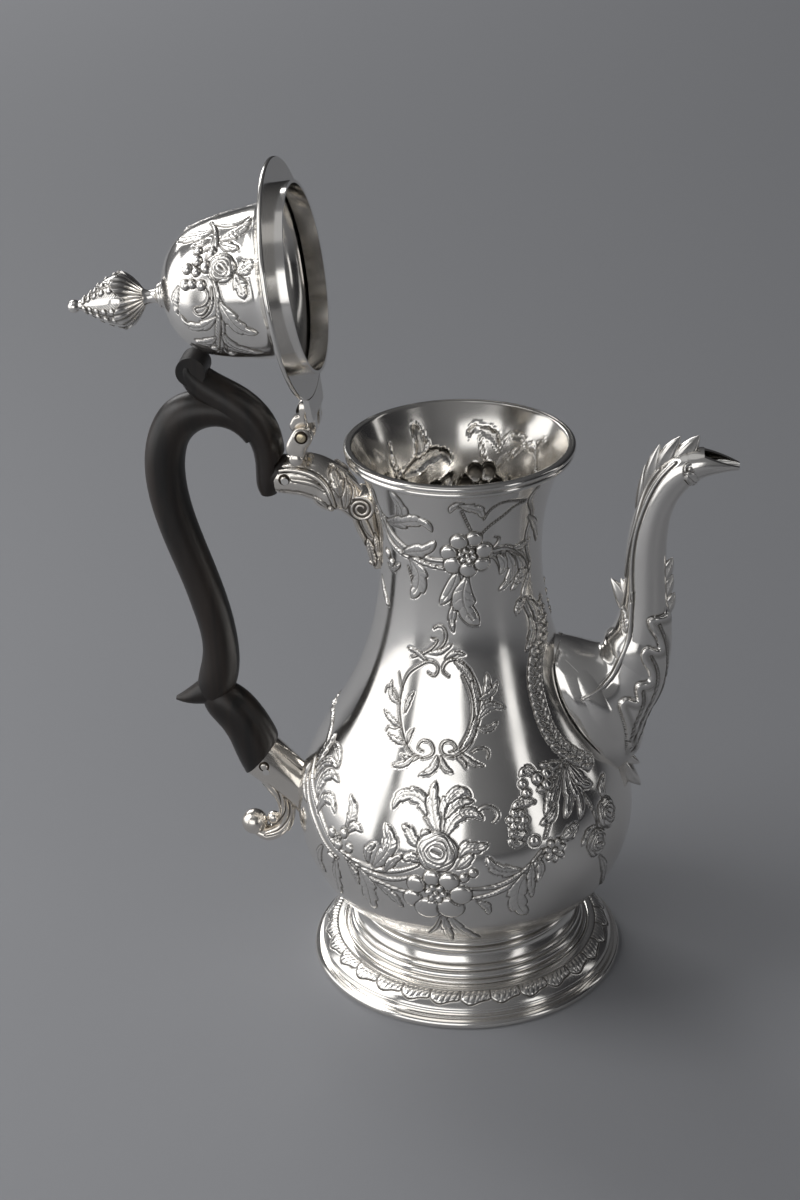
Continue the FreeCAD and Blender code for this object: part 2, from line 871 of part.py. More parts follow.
os.makedirs("parts", exist_ok=True)
for name, shape in build().items():
    box = shape.BoundBox
    print(f"{name}: {len(shape.Solids)} solids, {shape.Volume:.1f} mm3, valid {shape.isValid()},"
          f" x {box.XMin:.1f} {box.XMax:.1f} y {box.YMin:.1f} {box.YMax:.1f} z {box.ZMin:.1f} {box.ZMax:.1f}")
    shape.exportStep(f"parts/{name}.step")
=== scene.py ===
import json
import math

import bpy
import numpy as np
from mathutils import Matrix, Vector
from mathutils.bvhtree import BVHTree


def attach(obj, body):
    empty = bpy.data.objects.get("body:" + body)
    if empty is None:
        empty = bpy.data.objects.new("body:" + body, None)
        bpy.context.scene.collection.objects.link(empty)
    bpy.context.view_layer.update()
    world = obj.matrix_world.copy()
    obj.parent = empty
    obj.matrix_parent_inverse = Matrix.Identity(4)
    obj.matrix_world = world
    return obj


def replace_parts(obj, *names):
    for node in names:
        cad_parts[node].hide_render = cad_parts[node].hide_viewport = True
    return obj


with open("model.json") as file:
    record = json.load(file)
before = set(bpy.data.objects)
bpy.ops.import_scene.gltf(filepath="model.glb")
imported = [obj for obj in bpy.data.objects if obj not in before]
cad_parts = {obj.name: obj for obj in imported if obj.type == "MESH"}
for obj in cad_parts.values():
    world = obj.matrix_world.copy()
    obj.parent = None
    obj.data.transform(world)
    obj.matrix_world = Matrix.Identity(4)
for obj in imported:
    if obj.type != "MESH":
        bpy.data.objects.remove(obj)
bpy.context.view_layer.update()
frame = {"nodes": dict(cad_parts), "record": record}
nodes = frame["nodes"]
mm = 0.001
tiny = 1e-9  # keeps a division by nought from failing
sideways = np.array((0, 1.0, 0))  # across the middle plane of spout and handle
unmoved = Matrix.Identity(4)
print("frame loaded with", len(nodes), "nodes")

# The camera stands where the photo was taken: spot and axes in the part's frame, focal length in photo pixels
photo = {
    "width": 800,
    "height": 1200,
    "focal": 2456.25,
    "middle": (408.35, 611.26),
    "spot": Vector((0.082217, -0.773112, 0.529080)),
    "forward": Vector((-0.116208, 0.886517, -0.447866)),
    "right": Vector((0.992705, 0.118256, -0.023499)),
    "up": Vector((-0.032131, 0.447329, 0.893792)),
    "sensor": 36.0,
    "clip": (0.05, 20),
}


def pixelRay(px, py):
    across = photo["right"] * (px - photo["middle"][0])
    down = photo["up"] * (photo["middle"][1] - py)
    return (photo["forward"] * photo["focal"] + across + down).normalized()


# Where a pixel's ray meets a plane parallel to the middle plane, on the near side, in millimetres
def onPlane(pixel, side=0.0):
    ray = pixelRay(*pixel)
    return np.array(photo["spot"] + ray * ((-side * mm - photo["spot"].y) / ray.y)) / mm


# Where points of the part, in millimetres, fall in the photo
def toPixels(points):
    offset = points * mm - np.array(photo["spot"])
    ahead = offset @ np.array(photo["forward"])
    across = photo["middle"][0] + photo["focal"] * (offset @ np.array(photo["right"])) / ahead
    down = photo["middle"][1] - photo["focal"] * (offset @ np.array(photo["up"])) / ahead
    return np.stack([across, down], axis=1)


def makeCamera():
    data = bpy.data.cameras.new("photoCamera")
    camera = bpy.data.objects.new("photoCamera", data)
    bpy.context.scene.collection.objects.link(camera)
    turn = Matrix((photo["right"], photo["up"], -photo["forward"])).transposed()
    camera.matrix_world = Matrix.Translation(photo["spot"]) @ turn.to_4x4()
    data.sensor_width = photo["sensor"]
    data.lens = photo["focal"] * photo["sensor"] / photo["height"]
    data.shift_x = (photo["width"] / 2 - photo["middle"][0]) / photo["height"]
    data.shift_y = (photo["middle"][1] - photo["height"] / 2) / photo["height"]
    data.clip_start, data.clip_end = photo["clip"]
    bpy.context.scene.camera = camera


# Helpers that add a shader node and link it
def addNode(tree, kind, **values):
    node = tree.nodes.new(kind)
    for key, value in values.items():
        if key in node.inputs:
            node.inputs[key].default_value = value
        else:
            setattr(node, key, value)
    return node


def rampNode(tree, source, span, lowColour, highColour):
    ramp = addNode(tree, "ShaderNodeValToRGB")
    for stop, place, colour in zip(ramp.color_ramp.elements, span, (lowColour, highColour)):
        stop.position = place
        stop.color = colour
    tree.links.new(source, ramp.inputs["Fac"])
    return ramp.outputs["Color"]


def rangeNode(tree, source, start, end, **values):
    spread = addNode(tree, "ShaderNodeMapRange", **values)
    spread.inputs["From Min"].default_value, spread.inputs["From Max"].default_value = start
    spread.inputs["To Min"].default_value, spread.inputs["To Max"].default_value = end
    tree.links.new(source, spread.inputs["Value"])
    return spread.outputs["Result"]


def noiseNode(tree, place, **values):
    noise = addNode(tree, "ShaderNodeTexNoise", **values)
    tree.links.new(place, noise.inputs["Vector"])
    return noise.outputs["Fac"]


def bumpInto(tree, shader, height, strength, depth):
    bump = addNode(tree, "ShaderNodeBump", Strength=strength, Distance=depth * mm)
    tree.links.new(height, bump.inputs["Height"])
    tree.links.new(bump.outputs["Normal"], shader.inputs["Normal"])


def newMaterial(name):
    material = bpy.data.materials.new(name)
    material.use_nodes = True
    return material, material.node_tree, material.node_tree.nodes["Principled BSDF"]


# Grey paper floor and soft lights; spots, aims and sizes are in metres, power in watts
studio = {
    "floorSize": 12.0,
    "floorColour": (0.325, 0.33, 0.348, 1),
    "floorRoughness": 0.7,
    "worldDark": (0.022, 0.022, 0.024, 1),
    "worldBright": (0.17, 0.172, 0.178, 1),
    "worldAim": (-0.80, -0.45, 0.40),
    "worldSpan": (-0.75, 0.85),
}
softboxes = {
    "leftSoftbox": {"spot": (-0.85, -0.10, 0.34), "aim": (0, 0, 0.20), "size": (0.95, 0.66), "power": 2.3},
    "frontSoftbox": {"spot": (-0.36, -0.98, 0.40), "aim": (0, 0, 0.20), "size": (1.00, 0.66), "power": 2.4},
    "keySoftbox": {"spot": (-1.00, -0.20, 1.05), "aim": (0, 0, 0.12), "size": (0.80, 0.60), "power": 4.7},
    "rightCard": {"spot": (0.80, -0.52, 0.36), "aim": (0, 0, 0.2), "size": (0.18, 0.60), "power": 0.33},
    "rightStrip": {"spot": (0.90, 0.30, 0.50), "aim": (0, 0, 0.15), "size": (0.10, 0.8), "power": 0.20},
    "topSoftbox": {"spot": (-0.35, -0.25, 1.60), "aim": (0, 0.1, 0.1), "size": (1.2, 0.9), "power": 0.9},
    "farFill": {"spot": (-1.6, 2.3, 1.6), "aim": (0, 2.1, 0), "size": (1.6, 1.6), "power": 30.0},
}


def makeFloor():
    bpy.ops.object.select_all(action="DESELECT")
    bpy.ops.mesh.primitive_plane_add(size=studio["floorSize"], location=(0, 0, 0))
    floor = bpy.context.object
    floor.name = "studioFloor"
    paper, tree, shader = newMaterial("floorPaper")
    shader.inputs["Base Color"].default_value = studio["floorColour"]
    shader.inputs["Roughness"].default_value = studio["floorRoughness"]
    floor.data.materials.append(paper)


def makeLights():
    for name, box in softboxes.items():
        light = bpy.data.lights.new(name, "AREA")
        light.shape = "RECTANGLE"
        light.size, light.size_y = box["size"]
        light.energy = box["power"]
        lamp = bpy.data.objects.new(name, light)
        bpy.context.scene.collection.objects.link(lamp)
        lamp.location = box["spot"]
        aim = Vector(box["aim"]) - Vector(box["spot"])
        lamp.rotation_euler = aim.to_track_quat("-Z", "Y").to_euler()


# A dim room, brighter on the left, where the main lights stand
def makeWorld():
    world = bpy.data.worlds.new("studioWorld")
    bpy.context.scene.world = world
    world.use_nodes = True
    tree = world.node_tree
    place = addNode(tree, "ShaderNodeTexCoord").outputs["Generated"]
    facing = addNode(tree, "ShaderNodeVectorMath", operation="DOT_PRODUCT")
    facing.inputs[1].default_value = Vector(studio["worldAim"]).normalized()
    tree.links.new(place, facing.inputs[0])
    towards = facing.outputs["Value"]
    spread = rangeNode(tree, towards, studio["worldSpan"], (0, 1), interpolation_type="SMOOTHSTEP")
    glow = rampNode(tree, spread, (0, 1), studio["worldDark"], studio["worldBright"])
    tree.links.new(glow, tree.nodes["Background"].inputs["Color"])


makeCamera()
makeFloor()
makeLights()
makeWorld()
bpy.context.scene.view_settings.view_transform = "Standard"
print("camera and studio set")

silverLook = {
    "bright": (0.93, 0.905, 0.865, 1), "darkTone": (0.085, 0.072, 0.058, 1), "roughness": (0.10, 0.20),
    "cloudScale": 42.0, "cloudDetail": 3.0, "cloudSpan": (0.35, 0.65),
    "cloudShade": 0.93, "shadeSpan": (0.3, 0.7),
    "scratchScale": 900.0, "scratchDetail": 4.0, "scratchGrit": 0.6,
    "scratchDepth": 0.010, "scratchStrength": 0.12,
    "tarnishAndShadeSpan": (0.12, 0.95), "tarnishAndShadeRoughness": 0.28,
}
# Cast fittings: tarnish in their recesses is real, while their darker, warmer tone and darker recesses are
# painted shade that keeps them from fading into the grey floor
castPaintedShadeLook = dict(
    silverLook, bright=(0.87, 0.825, 0.76, 1), darkTone=(0.055, 0.044, 0.034, 1), roughness=(0.11, 0.24),
)
tarnishLook = dict(
    silverLook, bright=(0.88, 0.85, 0.80, 1), darkTone=(0.10, 0.08, 0.055, 1), roughness=(0.10, 0.26),
)
brassLook = dict(silverLook, bright=(0.80, 0.70, 0.50, 1), roughness=(0.22, 0.34))


# Polished metal: fine hand-rubbed scratches and a cloudy polish; a chased piece is darkened by a point
# attribute, which holds the tarnish in its recesses and, on the spout's laid-on leaf, painted shade and a
# painted shadow
def metalMaterial(name, look, chased):
    material, tree, shader = newMaterial(name)
    shader.inputs["Metallic"].default_value = 1.0
    place = addNode(tree, "ShaderNodeTexCoord").outputs["Object"]
    cloud = noiseNode(tree, place, Scale=look["cloudScale"], Detail=look["cloudDetail"])
    scratch = noiseNode(
        tree, place, Scale=look["scratchScale"], Detail=look["scratchDetail"], Roughness=look["scratchGrit"],
    )
    bumpInto(tree, shader, scratch, look["scratchStrength"], look["scratchDepth"])
    rough = rangeNode(tree, cloud, look["cloudSpan"], look["roughness"])
    if chased:
        recess = addNode(tree, "ShaderNodeAttribute", attribute_name="recess").outputs["Fac"]
        # The point darkening turns the colour towards the dark tone: tarnish in recesses, and painted shade
        # where the spout's leaf sets it
        tint = rampNode(tree, recess, look["tarnishAndShadeSpan"], look["bright"], look["darkTone"])
        dull = addNode(tree, "ShaderNodeMath", operation="MULTIPLY_ADD")
        dull.inputs[1].default_value = look["tarnishAndShadeRoughness"]
        tree.links.new(recess, dull.inputs[0])
        tree.links.new(rough, dull.inputs[2])
        rough = dull.outputs["Value"]
    else:
        shaded = tuple(part * look["cloudShade"] for part in look["bright"][:3]) + (1,)
        tint = rampNode(tree, cloud, look["shadeSpan"], shaded, look["bright"])
    tree.links.new(tint, shader.inputs["Base Color"])
    tree.links.new(rough, shader.inputs["Roughness"])
    return material


woodLook = {
    "dark": (0.006, 0.005, 0.0045, 1), "light": (0.030, 0.021, 0.016, 1), "roughness": (0.30, 0.46),
    "grainScale": 160.0, "grainDetail": 6.0, "grainBend": 0.6, "grainStretch": (1.0, 1.0, 0.12),
    "grainSpan": (0.35, 0.75), "grainDepth": 0.05, "grainStrength": 0.25,
}


# Ebonised wood: near black with a brown upright grain and a satin polish
def ebonyMaterial(name, look):
    material, tree, shader = newMaterial(name)
    place = addNode(tree, "ShaderNodeTexCoord").outputs["Object"]
    along = addNode(tree, "ShaderNodeMapping", Scale=look["grainStretch"])
    tree.links.new(place, along.inputs["Vector"])
    grain = noiseNode(
        tree, along.outputs["Vector"],
        Scale=look["grainScale"], Detail=look["grainDetail"], Distortion=look["grainBend"],
    )
    tint = rampNode(tree, grain, look["grainSpan"], look["dark"], look["light"])
    tree.links.new(tint, shader.inputs["Base Color"])
    tree.links.new(rangeNode(tree, grain, (0, 1), look["roughness"]), shader.inputs["Roughness"])
    bumpInto(tree, shader, grain, look["grainStrength"], look["grainDepth"])
    return material


plainSilver = metalMaterial("plainSilver", silverLook, False)
chasedSilver = metalMaterial("chasedSilver", silverLook, True)
castPaintedShadeSilver = metalMaterial("castPaintedShadeSilver", castPaintedShadeLook, True)
tarnishedSilver = metalMaterial("tarnishedSilver", tarnishLook, True)
pinBrass = metalMaterial("pinBrass", brassLook, False)
ebonyGrip = ebonyMaterial("ebonyGrip", woodLook)
ownLook = {"handle_grip": ebonyGrip, "hinge_pin": pinBrass, "lower_socket": castPaintedShadeSilver}
for name, node in nodes.items():
    node.data.materials.clear()
    node.data.materials.append(ownLook.get(name, plainSilver))
print("materials made")


# Grids of points in millimetres: rows run along a piece and columns run round it
def unit(vectors):
    return vectors / np.maximum(np.linalg.norm(vectors, axis=-1, keepdims=True), tiny)


def turnAngles(columns):
    return 2 * np.pi * np.arange(columns) / columns


# Distance run along a line of points, from nought at the first
def runAlong(points):
    return np.concatenate([[0], np.cumsum(np.linalg.norm(np.diff(points, axis=0), axis=1))])


# A soft ridge, one high where the offset is nought
def ridge(offset, width):
    return np.exp(-(offset / width) ** 2)


# A rounded top, one high in the middle and nought from share one outwards
def rounded(share, fullness=2.0, soft=0.5):
    return np.clip(1 - np.abs(share) ** fullness, 0, 1) ** soft


# Natural cubic spline through values at knots
def cubicThrough(knots, values, where):
    count = len(knots)
    step = np.diff(knots)
    slope = np.diff(values) / step
    matrix = np.zeros((count, count))
    right = np.zeros(count)
    matrix[0, 0] = matrix[-1, -1] = 1
    for i in range(1, count - 1):
        matrix[i, i - 1:i + 2] = step[i - 1], 2 * (step[i - 1] + step[i]), step[i]
        right[i] = 6 * (slope[i] - slope[i - 1])
    bend = np.linalg.solve(matrix, right)
    i = np.clip(np.searchsorted(knots, where) - 1, 0, count - 2)
    a = (knots[i + 1] - where) / step[i]
    b = 1 - a
    curl = ((a ** 3 - a) * bend[i] + (b ** 3 - b) * bend[i + 1]) * step[i] ** 2 / 6
    return a * values[i] + b * values[i + 1] + curl


# A smooth line through points, with samples evenly spread along it
def smoothLine(points, count):
    points = np.asarray(points, float)
    reach = runAlong(points)
    where = np.linspace(0, reach[-1], count)
    return np.stack([cubicThrough(reach, points[:, k], where) for k in range(points.shape[1])], axis=1)


def arcThrough(first, middle, last, count):
    (ax, ay), (bx, by), (cx, cy) = first, middle, last
    a, b, c = ax ** 2 + ay ** 2, bx ** 2 + by ** 2, cx ** 2 + cy ** 2
    d = 2 * (ax * (by - cy) + bx * (cy - ay) + cx * (ay - by))
    ux = (a * (by - cy) + b * (cy - ay) + c * (ay - by)) / d
    uy = (a * (cx - bx) + b * (ax - cx) + c * (bx - ax)) / d
    radius = math.hypot(ax - ux, ay - uy)
    turn = np.linspace(math.atan2(ay - uy, ax - ux), math.atan2(cy - uy, cx - ux), count)
    return np.stack([ux + radius * np.cos(turn), uy + radius * np.sin(turn)], axis=1)


# A grid turned about the Z axis from an outline of (radius, height) rows; columns run round from the spout
def turnedGrid(outline, columns):
    angle = turnAngles(columns)
    r, z = outline[:, 0][:, None], outline[:, 1][:, None]
    return np.stack([r * np.cos(angle), r * np.sin(angle), z + 0 * angle], axis=-1)


# Rings of points on a line, each spanned by two directions
def sweptRings(line, first, second, angle, pinch=1.0):
    flat = np.cos(angle)[None, :, None] * first[:, None]
    deep = (pinch * np.sin(angle))[None, :, None] * second[:, None]
    return line[:, None] + flat + deep


def gridNormals(grid):
    around = np.roll(grid, -1, axis=1) - np.roll(grid, 1, axis=1)
    return unit(np.cross(around, np.gradient(grid, axis=0)))


def raised(grid, height):
    return grid + gridNormals(grid) * height[..., None]


def gridFaces(rows, columns):
    faces = []
    for i in range(rows - 1):
        for j in range(columns):
            k = (j + 1) % columns
            faces.append((i * columns + j, i * columns + k, (i + 1) * columns + k, (i + 1) * columns + j))
    return faces


# One visible piece from a grid; its darkening, tarnish in recesses and in places painted shade, goes into a
# point attribute
def gridMesh(name, grid, darkTone, material, place=unmoved, body="pot", normals=None):
    rows, columns = grid.shape[:2]
    corners = [place @ (Vector(p) * mm) for p in grid.reshape(-1, 3)]
    mesh = bpy.data.meshes.new(name)
    mesh.from_pydata(corners, [], gridFaces(rows, columns))
    mesh.polygons.foreach_set("use_smooth", [True] * len(mesh.polygons))
    darkness = np.clip(np.broadcast_to(darkTone, (rows, columns)), 0, 1)
    recess = mesh.attributes.new("recess", "FLOAT", "POINT")
    recess.data.foreach_set("value", darkness.reshape(-1).astype(np.float32))
    if normals is None:
        normals = gridNormals(grid)
    turned = normals.reshape(-1, 3) @ np.array(place.to_3x3()).T
    mesh.normals_split_custom_set_from_vertices(turned.tolist())
    mesh.materials.append(material)
    piece = bpy.data.objects.new(name, mesh)
    bpy.context.scene.collection.objects.link(piece)
    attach(piece, body)
    return piece


# Chased relief: strokes in photo pixels, laid on a grid, raise it or cut into it by millimetres
strokeLay = {"spacing": 0.4, "fewest": 8, "margin": 2.0}
chisel = {"lineWidth": 0.27, "lineDepth": 0.26, "darkTone": 0.95, "heightBelow": 0.45, "tarnishBelow": 0.25}


# A relief holds the half of a grid that faces the viewer, which is carved and then mirrored
def newRelief(grid, place):
    rows, columns = grid.shape[:2]
    half = np.arange(columns // 2, columns + 1) % columns
    corners = [place @ (Vector(p) * mm) for p in grid.reshape(-1, 3)]
    points = grid[:, half].reshape(-1, 3) @ np.array(place.to_3x3()).T + np.array(place.translation) / mm
    return {
        "half": half, "points": points, "tree": BVHTree.FromPolygons(corners, gridFaces(rows, columns)),
        "height": np.zeros(len(points)), "recess": np.zeros(len(points)),
    }


def onSurface(relief, pixel):
    spot, normal, face, distance = relief["tree"].ray_cast(photo["spot"], pixelRay(*pixel))
    return None if spot is None else np.array(spot) / mm


# The spine of a stroke, laid on the surface, with its directions along and aside
def layStroke(relief, pixels):
    spots = [onSurface(relief, pixel) for pixel in pixels]
    spots = [spot for spot in spots if spot is not None]
    if len(spots) < 2:
        print("stroke misses its surface near", pixels[0])
        return None
    if len(spots) == 2:
        spots.insert(1, (spots[0] + spots[1]) / 2)
    reach = runAlong(spots)[-1]
    line = smoothLine(spots, max(strokeLay["fewest"], int(reach / strokeLay["spacing"])))
    found = [relief["tree"].find_nearest(Vector(p) * mm) for p in line]
    line = np.array([np.array(spot) / mm for spot, normal, face, distance in found])
    normals = np.array([np.array(normal) for spot, normal, face, distance in found])
    along = unit(np.gradient(line, axis=0))
    return {"line": line, "along": along, "aside": unit(np.cross(normals, along)), "reach": reach}


# The points near a stroke, how far each lies to its side and at what share of its length
def strokeArea(relief, pixels, width):
    stroke = layStroke(relief, pixels)
    if stroke is None:
        return None
    line, points = stroke["line"], relief["points"]
    margin = width + strokeLay["margin"]
    near = (points > line.min(0) - margin) & (points < line.max(0) + margin)
    picked = np.nonzero(near.all(axis=1))[0]
    if not len(picked):
        return None
    offset = points[picked][:, None, :] - line[None]
    nearest = (offset ** 2).sum(-1).argmin(1)
    offset = offset[np.arange(len(picked)), nearest]
    side = (offset * stroke["aside"][nearest]).sum(-1)
    run = (offset * stroke["along"][nearest]).sum(-1)
    last = len(line) - 1
    past = ((nearest == 0) & (run < 0)) | ((nearest == last) & (run > 0))
    side = np.where(past, np.sign(side + tiny) * np.linalg.norm(offset, axis=-1), side)
    share = np.clip((nearest + run * last / stroke["reach"]) / last, 0, 1)
    return picked, side, share, stroke["reach"]


# The points near a spot on the surface, with their distance and angle round it
def roundArea(relief, pixel, radius):
    spot = onSurface(relief, pixel)
    if spot is None:
        print("flower misses its surface near", pixel)
        return None
    normal = np.array(relief["tree"].find_nearest(Vector(spot) * mm)[1])
    level = unit(np.cross(normal, (0, 0, 1.0)))
    rise = np.cross(level, normal)
    offset = relief["points"] - spot
    picked = np.nonzero((offset ** 2).sum(-1) < (radius + strokeLay["margin"]) ** 2)[0]
    x, y = offset[picked] @ level, offset[picked] @ rise
    return picked, np.hypot(x, y), np.arctan2(y, x)


def edgeLine(offset):
    return ridge(offset, chisel["lineWidth"])


# Darkens points: tarnish along cuts, and painted shade where a laid-on leaf sets it
def darkenOver(relief, picked, darkness):
    relief["recess"][picked] = np.maximum(relief["recess"][picked], darkness)


# A new form covers what lies below it, and a chisel line is cut round its edge
def layOver(relief, picked, inside, height, edge):
    below = relief["height"][picked]
    covered = np.where(inside, np.maximum(height, chisel["heightBelow"] * below), below)
    relief["height"][picked] = covered - chisel["lineDepth"] * edge
    relief["recess"][picked] *= np.where(inside, chisel["tarnishBelow"], 1)
    darkenOver(relief, picked, chisel["darkTone"] * edge)


leafCut = {
    "lean": 0.12, "lobeSwell": 0.82, "notch": 0.30, "stalk": 0.06, "swayBack": 0.95, "bodySoft": 0.6,
    "edgeWidth": 0.10,
    "edgeRise": 0.40, "middleRise": 0.45, "tipRise": 0.55, "tipPlace": 0.86, "tipLength": 0.10,
    "fullness": 2.6, "soft": 0.55, "ribWidth": 0.24, "ribEnd": 0.84, "ribDepth": 0.30, "ribStain": 0.60,
    "veins": 3, "veinWidth": 0.20, "veinStart": 0.15, "veinEnd": 0.8, "veinDepth": 0.16, "veinStain": 0.38,
}


# A leaf swells from its stalk to a turned-over tip; lobes notch its edge, and a rib and fine veins are cut in
def carveLeaf(relief, pixels, width, lobes=3, height=0.7):
    look = leafCut
    found = strokeArea(relief, pixels, width)
    if found is None:
        return
    picked, side, share, reach = found
    lag = np.clip(share - look["lean"] * np.abs(side) / width, 0, 1)
    saw = (lobes * lag) % 1
    rising = np.sin(0.5 * np.pi * saw / look["lobeSwell"])
    lobe = np.where(saw < look["lobeSwell"], rising, (1 - saw) / (1 - look["lobeSwell"]))
    onward = np.clip(look["stalk"] + (1 - look["stalk"]) * share, 0, 1)
    body = np.sin(np.pi * onward ** look["swayBack"]) ** look["bodySoft"]
    notch = look["notch"] if lobes > 1 else 0.0
    half = width * body * (1 - notch + notch * lobe) + look["edgeWidth"]
    across = np.abs(side) / half
    inside = across < 1
    tipRoll = ridge(share - look["tipPlace"], look["tipLength"])
    swell = look["edgeRise"] + look["middleRise"] * np.sin(np.pi * share) + look["tipRise"] * tipRoll
    rib = ridge(side, look["ribWidth"]) * (share < look["ribEnd"])
    veinCount = look["veins"] * lobes
    fromVein = 0.5 - np.abs((veinCount * lag) % 1 - 0.5)
    vein = ridge(fromVein * reach / veinCount, look["veinWidth"])
    vein = vein * (across > look["veinStart"]) * (share < look["veinEnd"])
    cuts = look["ribDepth"] * rib + look["veinDepth"] * vein
    dome = height * (swell * rounded(across, look["fullness"], look["soft"]) - cuts)
    layOver(relief, picked, inside, dome, edgeLine(np.abs(side) - half))
    darkenOver(relief, picked, np.maximum(look["ribStain"] * rib, look["veinStain"] * vein) * inside)


stemCut = {"ends": 0.55, "lead": 0.1, "reedShare": 0.18, "reedDepth": 0.4, "reedStain": 0.5}


# A stem thins a little towards its ends; strands cut it into parallel reeds
def carveStem(relief, pixels, width=0.8, strands=1, height=0.45):
    look = stemCut
    found = strokeArea(relief, pixels, width)
    if found is None:
        return
    picked, side, share, reach = found
    swell = np.sin(np.pi * np.clip(share * (1 - look["lead"]) + look["lead"], 0, 1))
    half = width * (look["ends"] + (1 - look["ends"]) * swell)
    across = side / half
    inside = np.abs(across) < 1
    reed = 0 * side
    if strands > 1:
        reed = 0.5 - 0.5 * np.cos(np.pi * strands * (across + 1)) < look["reedShare"]
    dome = height * (rounded(across) - look["reedDepth"] * reed)
    layOver(relief, picked, inside, dome, edgeLine(np.abs(side) - half))
    darkenOver(relief, picked, look["reedStain"] * reed * inside)


# A row of small beads along a line, as on a twisted tendril
def carveBeads(relief, pixels, size=0.75, pitch=1.5, height=0.5):
    found = strokeArea(relief, pixels, size)
    if found is None:
        return
    picked, side, share, reach = found
    away = np.hypot(((share * reach / pitch) % 1 - 0.5) * pitch, side)
    layOver(relief, picked, away < size, height * rounded(away / size), edgeLine(away - size))


# A round petal or berry stands up as a dome
def carveBall(relief, pixel, radius, height=1.3, fullness=2.6):
    found = roundArea(relief, pixel, radius)
    if found is None:
        return
    picked, away, angle = found
    layOver(relief, picked, away < radius, height * rounded(away / radius, fullness), edgeLine(away - radius))


flowerCut = {
    "petalLength": 0.42, "petalWidth": 0.64, "petalOverlap": 1.02, "petalPlace": 0.60, "rootRise": 0.55,
    "fullness": 2.2,
    "creaseWidth": 0.3, "creaseReach": 0.62, "creaseDepth": 0.2, "heart": 0.27, "heartRise": 0.95,
    "pits": 5, "pitGap": 0.2, "pitPlace": 0.45, "pitWidth": 0.2, "pitDepth": 0.15, "pitStain": 0.5,
}


# A flower: a ring of creased petals round a pitted heart
def carveFlower(relief, pixel, radius, petals=6, turn=0.0, height=1.0):
    look = flowerCut
    found = roundArea(relief, pixel, radius)
    if found is None:
        return
    picked, away, angle = found
    step = 2 * np.pi / petals
    lean = (angle - turn + step / 2) % step - step / 2
    out, side = away * np.cos(lean), away * np.sin(lean)
    long = look["petalLength"] * radius
    wide = look["petalWidth"] * radius * math.sin(step / 2) * look["petalOverlap"]
    across = np.hypot((out - look["petalPlace"] * radius) / long, side / wide)
    rise = look["rootRise"] + (1 - look["rootRise"]) * out / radius
    crease = ridge(side, look["creaseWidth"]) * (out < look["creaseReach"] * radius)
    dome = height * (rise * rounded(across, look["fullness"]) - look["creaseDepth"] * crease)
    layOver(relief, picked, across < 1, dome, edgeLine((across - 1) * min(long, wide)))
    heart = look["heart"] * radius
    bead = look["heartRise"] * height * rounded(away / heart)
    layOver(relief, picked, away < heart, bead, edgeLine(away - heart))
    pit = ridge(away / heart - look["pitPlace"], look["pitWidth"])
    pit = pit * (np.cos(look["pits"] * angle) > look["pitGap"])
    relief["height"][picked] -= look["pitDepth"] * pit * (away < heart)
    darkenOver(relief, picked, look["pitStain"] * pit)


# Each fold of the rose has its share of the radius, its lobes and its turn
roseCut = {
    "waves": 2.5, "wave": 0.07, "fullness": 3.0, "foldWave": 0.09,
    "folds": {"outerFold": (0.78, 4, 0.4), "middleFold": (0.56, 3, 1.5), "innerFold": (0.36, 2, 0.2)},
    "cutWidth": 0.26, "cutDepth": 0.42, "cutStain": 0.8, "lipPlace": 0.45, "lipWidth": 0.35, "lipRise": 0.16,
    "slitWidth": 0.35, "slitReach": 0.26, "slitDepth": 0.5,
}


# A rose: rings of overlapping petals that close round a split heart
def carveRose(relief, pixel, radius, turn=0.0, height=1.35):
    look = roseCut
    found = roundArea(relief, pixel, radius)
    if found is None:
        return
    picked, away, angle = found
    angle = angle - turn
    rim = radius * (1 - look["wave"] + look["wave"] * np.abs(np.cos(look["waves"] * angle)))
    layOver(relief, picked, away < rim, height * rounded(away / rim, look["fullness"]), edgeLine(away - rim))
    for share, lobes, lead in look["folds"].values():
        fold = radius * share * (1 + look["foldWave"] * np.cos(lobes * angle + lead))
        cut = ridge(away - fold, look["cutWidth"])
        lip = ridge(away - fold + look["lipPlace"], look["lipWidth"])
        relief["height"][picked] += look["lipRise"] * lip - look["cutDepth"] * cut
        darkenOver(relief, picked, look["cutStain"] * cut)
    slit = ridge(away * np.sin(angle), look["slitWidth"]) * (away < look["slitReach"] * radius)
    relief["height"][picked] -= look["slitDepth"] * slit
    darkenOver(relief, picked, slit)


curlCut = {"points": 22, "windIn": 0.78, "beadRadius": 1.0, "beadHeight": 0.6, "beadFullness": 2.0}


# A curl winds in from its tail to a bead, drawn round a middle pixel
def carveCurl(relief, middle, radius, start, turns, width=0.75, height=0.5):
    share = np.linspace(0, 1, curlCut["points"])
    angle = math.radians(start) + 2 * math.pi * turns * share
    away = radius * (1 - curlCut["windIn"] * share)
    pixels = np.stack([middle[0] + away * np.cos(angle), middle[1] + away * np.sin(angle)], axis=1)
    carveStem(relief, pixels, width, 1, height)
    carveBall(relief, middle, curlCut["beadRadius"], curlCut["beadHeight"], curlCut["beadFullness"])


# Sizes with Pixels in their name are in photo pixels
# shadeWidth sets the painted shadow outside the step; the three keys after it set the band of painted shade
# inside the leaf
shelfCut = {
    "samples": 240, "leftPixels": 14, "rightPixels": 60, "pixelSize": 0.37, "height": 1.0, "stepWidth": 0.5,
    "lip": 0.4, "lipPlace": 0.7, "lipWidth": 0.55, "fadeSamples": 12, "shadeWidth": 0.55,
    "paintedBandShade": 0.45, "paintedBandPlace": 2.6, "paintedBandWidth": 1.2,
}
